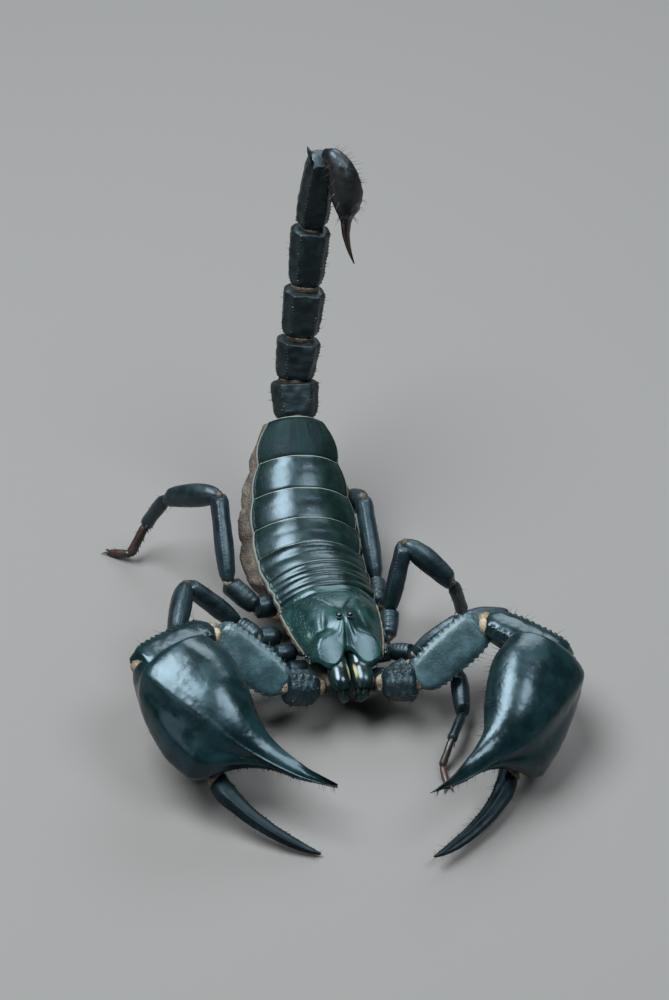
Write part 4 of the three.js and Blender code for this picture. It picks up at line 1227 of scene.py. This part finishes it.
def makeHand(name, side, wrist):
    arm = arms[name]
    axes = axesAlong(Vector(arm["handForward"]), Vector(arm["handBack"]))
    station = reader(hands["stations"])
    last = len(hands["stations"]) - 1

    def place(share, turn):
        ahead, inner, outer, top, bottom, ridgeAcross, ridgeUp, lean = station(share)
        spot = aroundRing(handSection(inner, outer, top, bottom, ridgeAcross, ridgeUp), turn)
        clock = turn % 1
        offRidge = clock - hands["ridgeTurn"]
        crest = rise(ahead, 3, 9) * (1 - 0.7 * rise(ahead, 28, 36))
        lift = hands["ridgeHeight"] * bell(offRidge, 0.016) * crest
        lift -= hands["grooveDepth"] * bell(offRidge - 0.05, 0.024) * crest
        outerRidge = hands["outerRidgeHeight"] * bell(offRidge - 0.1, 0.026)
        lift += outerRidge * rise(ahead, 9, 15) * fade(ahead, 22, 27)
        point = within(axes, wrist, side * spot.x, spot.y, ahead - lean * spot.y)
        middle = within(axes, wrist, side * (inner + outer) / 2, (top + bottom) / 2, ahead)
        palm = rise(ahead, 3, 7) * fade(ahead, 20, 26)
        lift += palm * 0.045 * rough(point, 3, 7) + 0.03 * rough(point, 1.3, 9) + 0.014 * rough(point, 0.6, 4)
        lift += 0.12 * bell(clock - 0.43, 0.06) * palm * rough(point, 2.2, 12)
        return point + (point - middle).normalized() * lift

    def paint(share, turn):
        clock = turn % 1
        edge = max(bell(clock - hands["ridgeTurn"], 0.03), bell(clock - 0.02, 0.06), bell(clock - 1, 0.05))
        return min(0.22 + 0.6 * edge, 1), 0.5 * fade(share * last, 0.2, 0.9)

    mesh = newMesh()
    sweepTube(mesh, 240, 180, place, paint)
    for tooth in range(hands["teeth"]):
        share = between(10.6, last - 2.3, (tooth + 0.5) / hands["teeth"]) / last
        addBead(mesh, place(share, 0.53), hands["toothRadii"][tooth % 6 == 3])
    finishPiece(mesh, f"hand_{name}", "handShell", f"arm_{name}_hand", sharp=75)
    for row in hands["bristles"]:
        scatterBristles(place, *row)

    fingerStation = reader(fingers["stations"])
    lastRow = len(fingers["stations"]) - 1

    def fingerPlace(share, turn):
        ahead, across, height, halfWidth, halfHeight = fingerStation(share)
        outBoxed, upBoxed = onRing(turn, 0.9)
        out, up = onRing(turn)
        crest = rise(ahead, 22, 25) * fade(ahead, 37, 41)
        lift = sum(tall * bell(turn % 1 - at, spread) for tall, at, spread in fingers["ridges"]) * crest
        point = within(axes, wrist, side * (across + outBoxed * halfWidth), height + upBoxed * halfHeight,
                       ahead)
        return point + (axes[0] * side * out + axes[2] * up) * (lift + 0.05 * rough(point, 1.2, 3))

    mesh = newMesh()
    sweepTube(mesh, 130, 60, fingerPlace, lambda share, turn: (0.25, 0.8 * fade(share * lastRow, 0.6, 1.05)))
    for tooth in range(fingers["teeth"]):
        share = between(1.7, lastRow - 0.3, (tooth + 0.5) / fingers["teeth"]) / lastRow
        addBead(mesh, fingerPlace(share, 0.5), fingers["toothRadii"][tooth % 6 == 2] * (1 - 0.4 * share))
    finishPiece(mesh, f"finger_{name}", "fingerShellWithPaintedShade", f"arm_{name}_finger", sharp=75)
    scatterBristles(fingerPlace, 50, (0.6, 1.7), (0.15, 0.95))
    mesh = newMesh()
    across, up, ahead = fingers["skinAt"]
    addSkinBall(mesh, within(axes, wrist, side * across, up, ahead), 1, axes, fingers["skinStretch"])
    finishPiece(mesh, f"hand_{name}_skin", "jointSkin")


# Tail rows are (length, half width, half height, heading, climb).
tail = {
    "root": (0, 36.1, 22.6),
    "segments": [(7.2, 4.1, 3.4, 84, 50), (7.8, 3.7, 3.3, 64, 64), (9.2, 3.5, 3.2, 61, 69),
        (11, 3.3, 3.1, 64, 69), (14, 2.8, 2.8, 10, 82)],
    "dorsalHeading": -93,
    "profile": [(0, 0.55, 0.55), (0.03, 0.7, 0.7), (0.1, 0.85, 0.86), (0.22, 0.95, 0.97), (0.5, 1.01, 1.03),
        (0.8, 1.06, 1.07), (0.91, 1.04, 1.05), (0.97, 0.9, 0.92), (1, 0.62, 0.62)],
    "lastProfile": [(0, 0.6, 0.6), (0.03, 0.8, 0.78), (0.1, 0.98, 0.96), (0.3, 1.04, 1.02), (0.6, 0.96, 0.97),
        (0.88, 0.8, 0.9), (0.96, 0.74, 0.84), (1, 0.55, 0.55)],
    "keels": [(56, 0.24, 11, 0), (124, 0.24, 11, 0), (90, -0.25, 18, 0), (12, 0.2, 11, 0), (168, 0.2, 11, 0),
        (-26, 0.18, 9, 0), (206, 0.18, 9, 0), (-62, 0.2, 8, 0), (242, 0.2, 8, 0)],
    "beadedKeels": (56, 124, 12, 168, -62, 242),
    "boxiness": 0.87,
    "beadsPerMillimetre": 1.2,
    "beadRadius": 0.17,
    # spines round the last joint: (up, size)
    "spines": [(1.5, 1), (0.4, 0.8), (-0.8, 0.9), (-1.9, 0.7)],
}
tailJoints = jointsOf(tail["root"], [row[0] for row in tail["segments"]], [row[3:] for row in tail["segments"]])


def makeTail():
    skin = newMesh()
    dorsal = heading(tail["dorsalHeading"], 0)
    before = plateWays[lastPlate]
    for index, (length, halfWidth, halfHeight, turn, climb) in enumerate(tail["segments"]):
        mesh = newMesh()
        way = heading(turn, climb)
        last = index == len(tail["segments"]) - 1
        place = sweepLimb(
            mesh, tailJoints[index] - way * 0.1, tailJoints[index + 1] + way * 0.25, dorsal, halfWidth * 0.95,
            halfHeight * 0.95, tail["lastProfile" if last else "profile"], tail["keels"], tail["boxiness"],
            notch=0.9, rows=90 if last else 64, columns=96, grain=0.4, paleEnds=0 if last else 0.4, lumps=0.17)
        for at in tail["beadedKeels"]:
            beads = round(length * tail["beadsPerMillimetre"]) + 3
            addBeadRow(mesh, place, at, beads, tail["beadRadius"], 0.08, 0.93)
            scatterBristles(place, 4, (0.5, 1.3), turns=(at / 360 - 0.02, at / 360 + 0.02), lean=0.4)
        if last:
            axes = axesAlong(way, dorsal)
            for across in (-1, 1):
                for up, size in tail["spines"]:
                    spot = within(axes, tailJoints[-1], across * 1.7, up, -0.6)
                    spineWay = way * 1.1 + axes[0] * across * 0.55 + axes[2] * 0.25 * up
                    addSpike(mesh, spot, spineWay, 1.5 * size, 0.42, 8, 0.15)
        finishPiece(mesh, f"tailSegment{index + 1}", "tailShell", f"tail_{index + 1}", sharp=60)
        fullness, long = (0.76, 1.2) if index else (0.82, 1.4)
        addSkinBall(skin, tailJoints[index], 1, axesAlong(way + before, dorsal),
                    (halfWidth * fullness, long, halfHeight * fullness), 0.5 if last else 0.2)
        before = way
    finishPiece(skin, "tailSkin", "jointSkin")


# The last bulb and its sting hang in front of the tail: rows are (distance out, drop, radius).
telson = {
    "heading": -51,
    "bulb": [(0.9, -0.7, 0.9), (2.5, -0.75, 1.5), (4.1, 0.5, 2.2), (5.2, 2.7, 2.65), (5.75, 5.1, 2.8),
        (5.8, 7.7, 2.3), (5.65, 9.7, 1.4), (5.65, 11, 1)],
    "sting": [(5.66, 10.4, 0.96), (5.65, 11.5, 0.92), (5.65, 13.2, 0.75), (6, 15.2, 0.54), (6.7, 17.2, 0.33),
        (7.6, 18.9, 0.1)],
    "knobRows": (60, 120, 240, 300),
    "knobHeight": 0.09,
    "bristles": 90,
}


def makeTelson():
    front = heading(telson["heading"], 0)
    sideways = front.cross(upwards)

    def hanging(stations):
        station = reader(stations)
        step = 0.1 / (len(stations) - 1)

        def centreAt(share):
            out, drop, _ = station(share)
            return tailJoints[-1] + front * out - upwards * drop

        def place(share, turn):
            way = centreAt(share + step) - centreAt(share - step)
            radius = station(share)[2]
            return ringPoint(axesAlong(way, sideways.cross(way)), centreAt(share), turn, radius * 0.96, radius)

        return place

    bulb = hanging(telson["bulb"])

    def lumpy(share, turn):
        point = bulb(share, turn)
        middle = (bulb(share, turn + 0.5) + point) / 2
        knobs = sum(bell(degreesFrom(turn, at), 9) for at in telson["knobRows"])
        knobs *= (1 + 0.5 * math.sin(share * 70)) * rise(share, 0.12, 0.3) * fade(share, 0.75, 0.95)
        lift = telson["knobHeight"] * knobs + 0.05 * rough(point, 0.9)
        return point + (point - middle).normalized() * lift

    mesh = newMesh()
    sweepTube(mesh, 110, 84, lumpy, lambda share, turn: (0.6 * fade(share, 0.7, 0.95), 0))
    finishPiece(mesh, "telsonBulb", "vesicleShell", "telson_vesicle", sharp=75)
    scatterBristles(lumpy, telson["bristles"], (0.8, 2), (0.08, 0.9), lean=0.4)
    mesh = newMesh()
    sweepTube(mesh, 60, 36, hanging(telson["sting"]))
    finishPiece(mesh, "sting", "stingShell", "telson_stinger", sharp=75)


# Fine hairs, as short three-sided cones. Each has its own patch on the UV map, as wide as patch.
bristles = {"radius": 0.045, "pieces": 2, "clearance": 0.001, "floorGap": 0.00005, "patch": 0.003}


def makeBristles():
    corner, far = Vector(cadBox[0]), Vector(cadBox[1])
    for piece in range(bristles["pieces"]):
        mesh = newMesh()
        uvLayer = mesh.loops.layers.uv.new("OFBake")
        for root, way, length in bristleSpots[piece::bristles["pieces"]]:
            tip = bodyToFrame @ (root + way.normalized() * length)
            if not bristles["floorGap"] <= tip.z <= far.z + bristles["clearance"]:
                continue
            hair = addSpike(mesh, root - way.normalized() * 0.1, way, length, bristles["radius"], 3, 0.15)
            spot = bodyToFrame @ root - corner
            middle = Vector([between(0.05, 0.95, spot[axis] / (far - corner)[axis]) for axis in (0, 1)])
            for face in touching(hair, "link_faces"):
                for loop in face.loops:
                    out = (loop.vert.co - root) / length
                    loop[uvLayer].uv = middle + bristles["patch"] / 2 * Vector((out.x, out.y + 0.4 * out.z))
        finishPiece(mesh, f"hairs{piece + 1}", "hairs")


for sideName, sideSign in sides.items():
    for legIndex in range(len(legs["lengths"])):
        makeLeg(sideName, sideSign, legIndex)
    makeHand(sideName, sideSign, makeArm(sideName, sideSign))
print("legs, arms and hands made")
makeTail()
makeTelson()
makeBristles()
print("tail and hairs made:", len(bristleSpots), "hairs")


# Floor, lights and camera. Positions are in millimetres from the body's own origin.
studio = {
    "floorRadius": 2500,
    "floorTone": (0.125, 0.125, 0.125),
    "floorRoughness": 0.85,
    "worldTone": (0.5, 0.54, 0.57),
    "worldStrength": 0.12,
    "camera": (-51, -292.8, 283.6),
    "lookBack": (-0.133, -0.754, 0.643),
    "lens": 85.68,
    "lightTarget": (0, 0, 12),
    # name, position, size (x, y), power in watts, tint
    "lights": [("overhead", (-215, 50, 630), (540, 370), 10.8, (0.97, 1, 1)),
        ("front", (250, -150, 534), (290, 290), 2.7, (0.96, 0.99, 1)),
        ("rear", (231, 455, 476), (460, 300), 2.6, (0.95, 0.99, 1)),
        ("fill", (-560, -330, 300), (300, 300), 0.3, (1, 1, 1))],
}


# Puts a lamp or the camera at a place in the body's millimetres; aim gives the way it looks.
def placeAt(position, aim, name, data):
    made = addToScene(name, data)
    made.location = bodyToFrame @ Vector(position)
    made.rotation_mode = "QUATERNION"
    made.rotation_quaternion = aim(made.location).to_track_quat("-Z", "Y")
    return made


def makeStudio():
    floor = bmesh.new()
    bmesh.ops.create_circle(floor, cap_ends=True, radius=studio["floorRadius"] * millimetre, segments=64)
    data = bpy.data.meshes.new("floor")
    floor.to_mesh(data)
    floor.free()
    addToScene("floor", data)
    material = bpy.data.materials.new("paleFloor")
    material.use_nodes = True
    shader = material.node_tree.nodes["Principled BSDF"].inputs
    shader["Base Color"].default_value = (*studio["floorTone"], 1)
    shader["Roughness"].default_value = studio["floorRoughness"]
    shader["Specular IOR Level"].default_value = 0.2
    data.materials.append(material)

    world = bpy.data.worlds.new("studio")
    world.use_nodes = True
    background = world.node_tree.nodes["Background"].inputs
    background["Color"].default_value = (*studio["worldTone"], 1)
    background["Strength"].default_value = studio["worldStrength"]
    bpy.context.scene.world = world

    target = bodyToFrame @ Vector(studio["lightTarget"])
    for name, position, size, power, tint in studio["lights"]:
        light = bpy.data.lights.new(name, "AREA")
        light.shape = "ELLIPSE"
        light.size, light.size_y = [side * millimetre for side in size]
        light.energy = power
        light.color = tint
        placeAt(position, lambda place: target - place, name, light)

    lens = bpy.data.cameras.new("camera")
    lens.sensor_fit = "VERTICAL"
    lens.sensor_height = 36
    lens.lens = studio["lens"]
    lens.clip_start, lens.clip_end = 0.01, 20
    look = -Vector(studio["lookBack"])
    bpy.context.scene.camera = placeAt(studio["camera"], lambda place: look, "camera", lens)
    bpy.context.scene.view_settings.view_transform = "Standard"


makeStudio()
print("studio made")
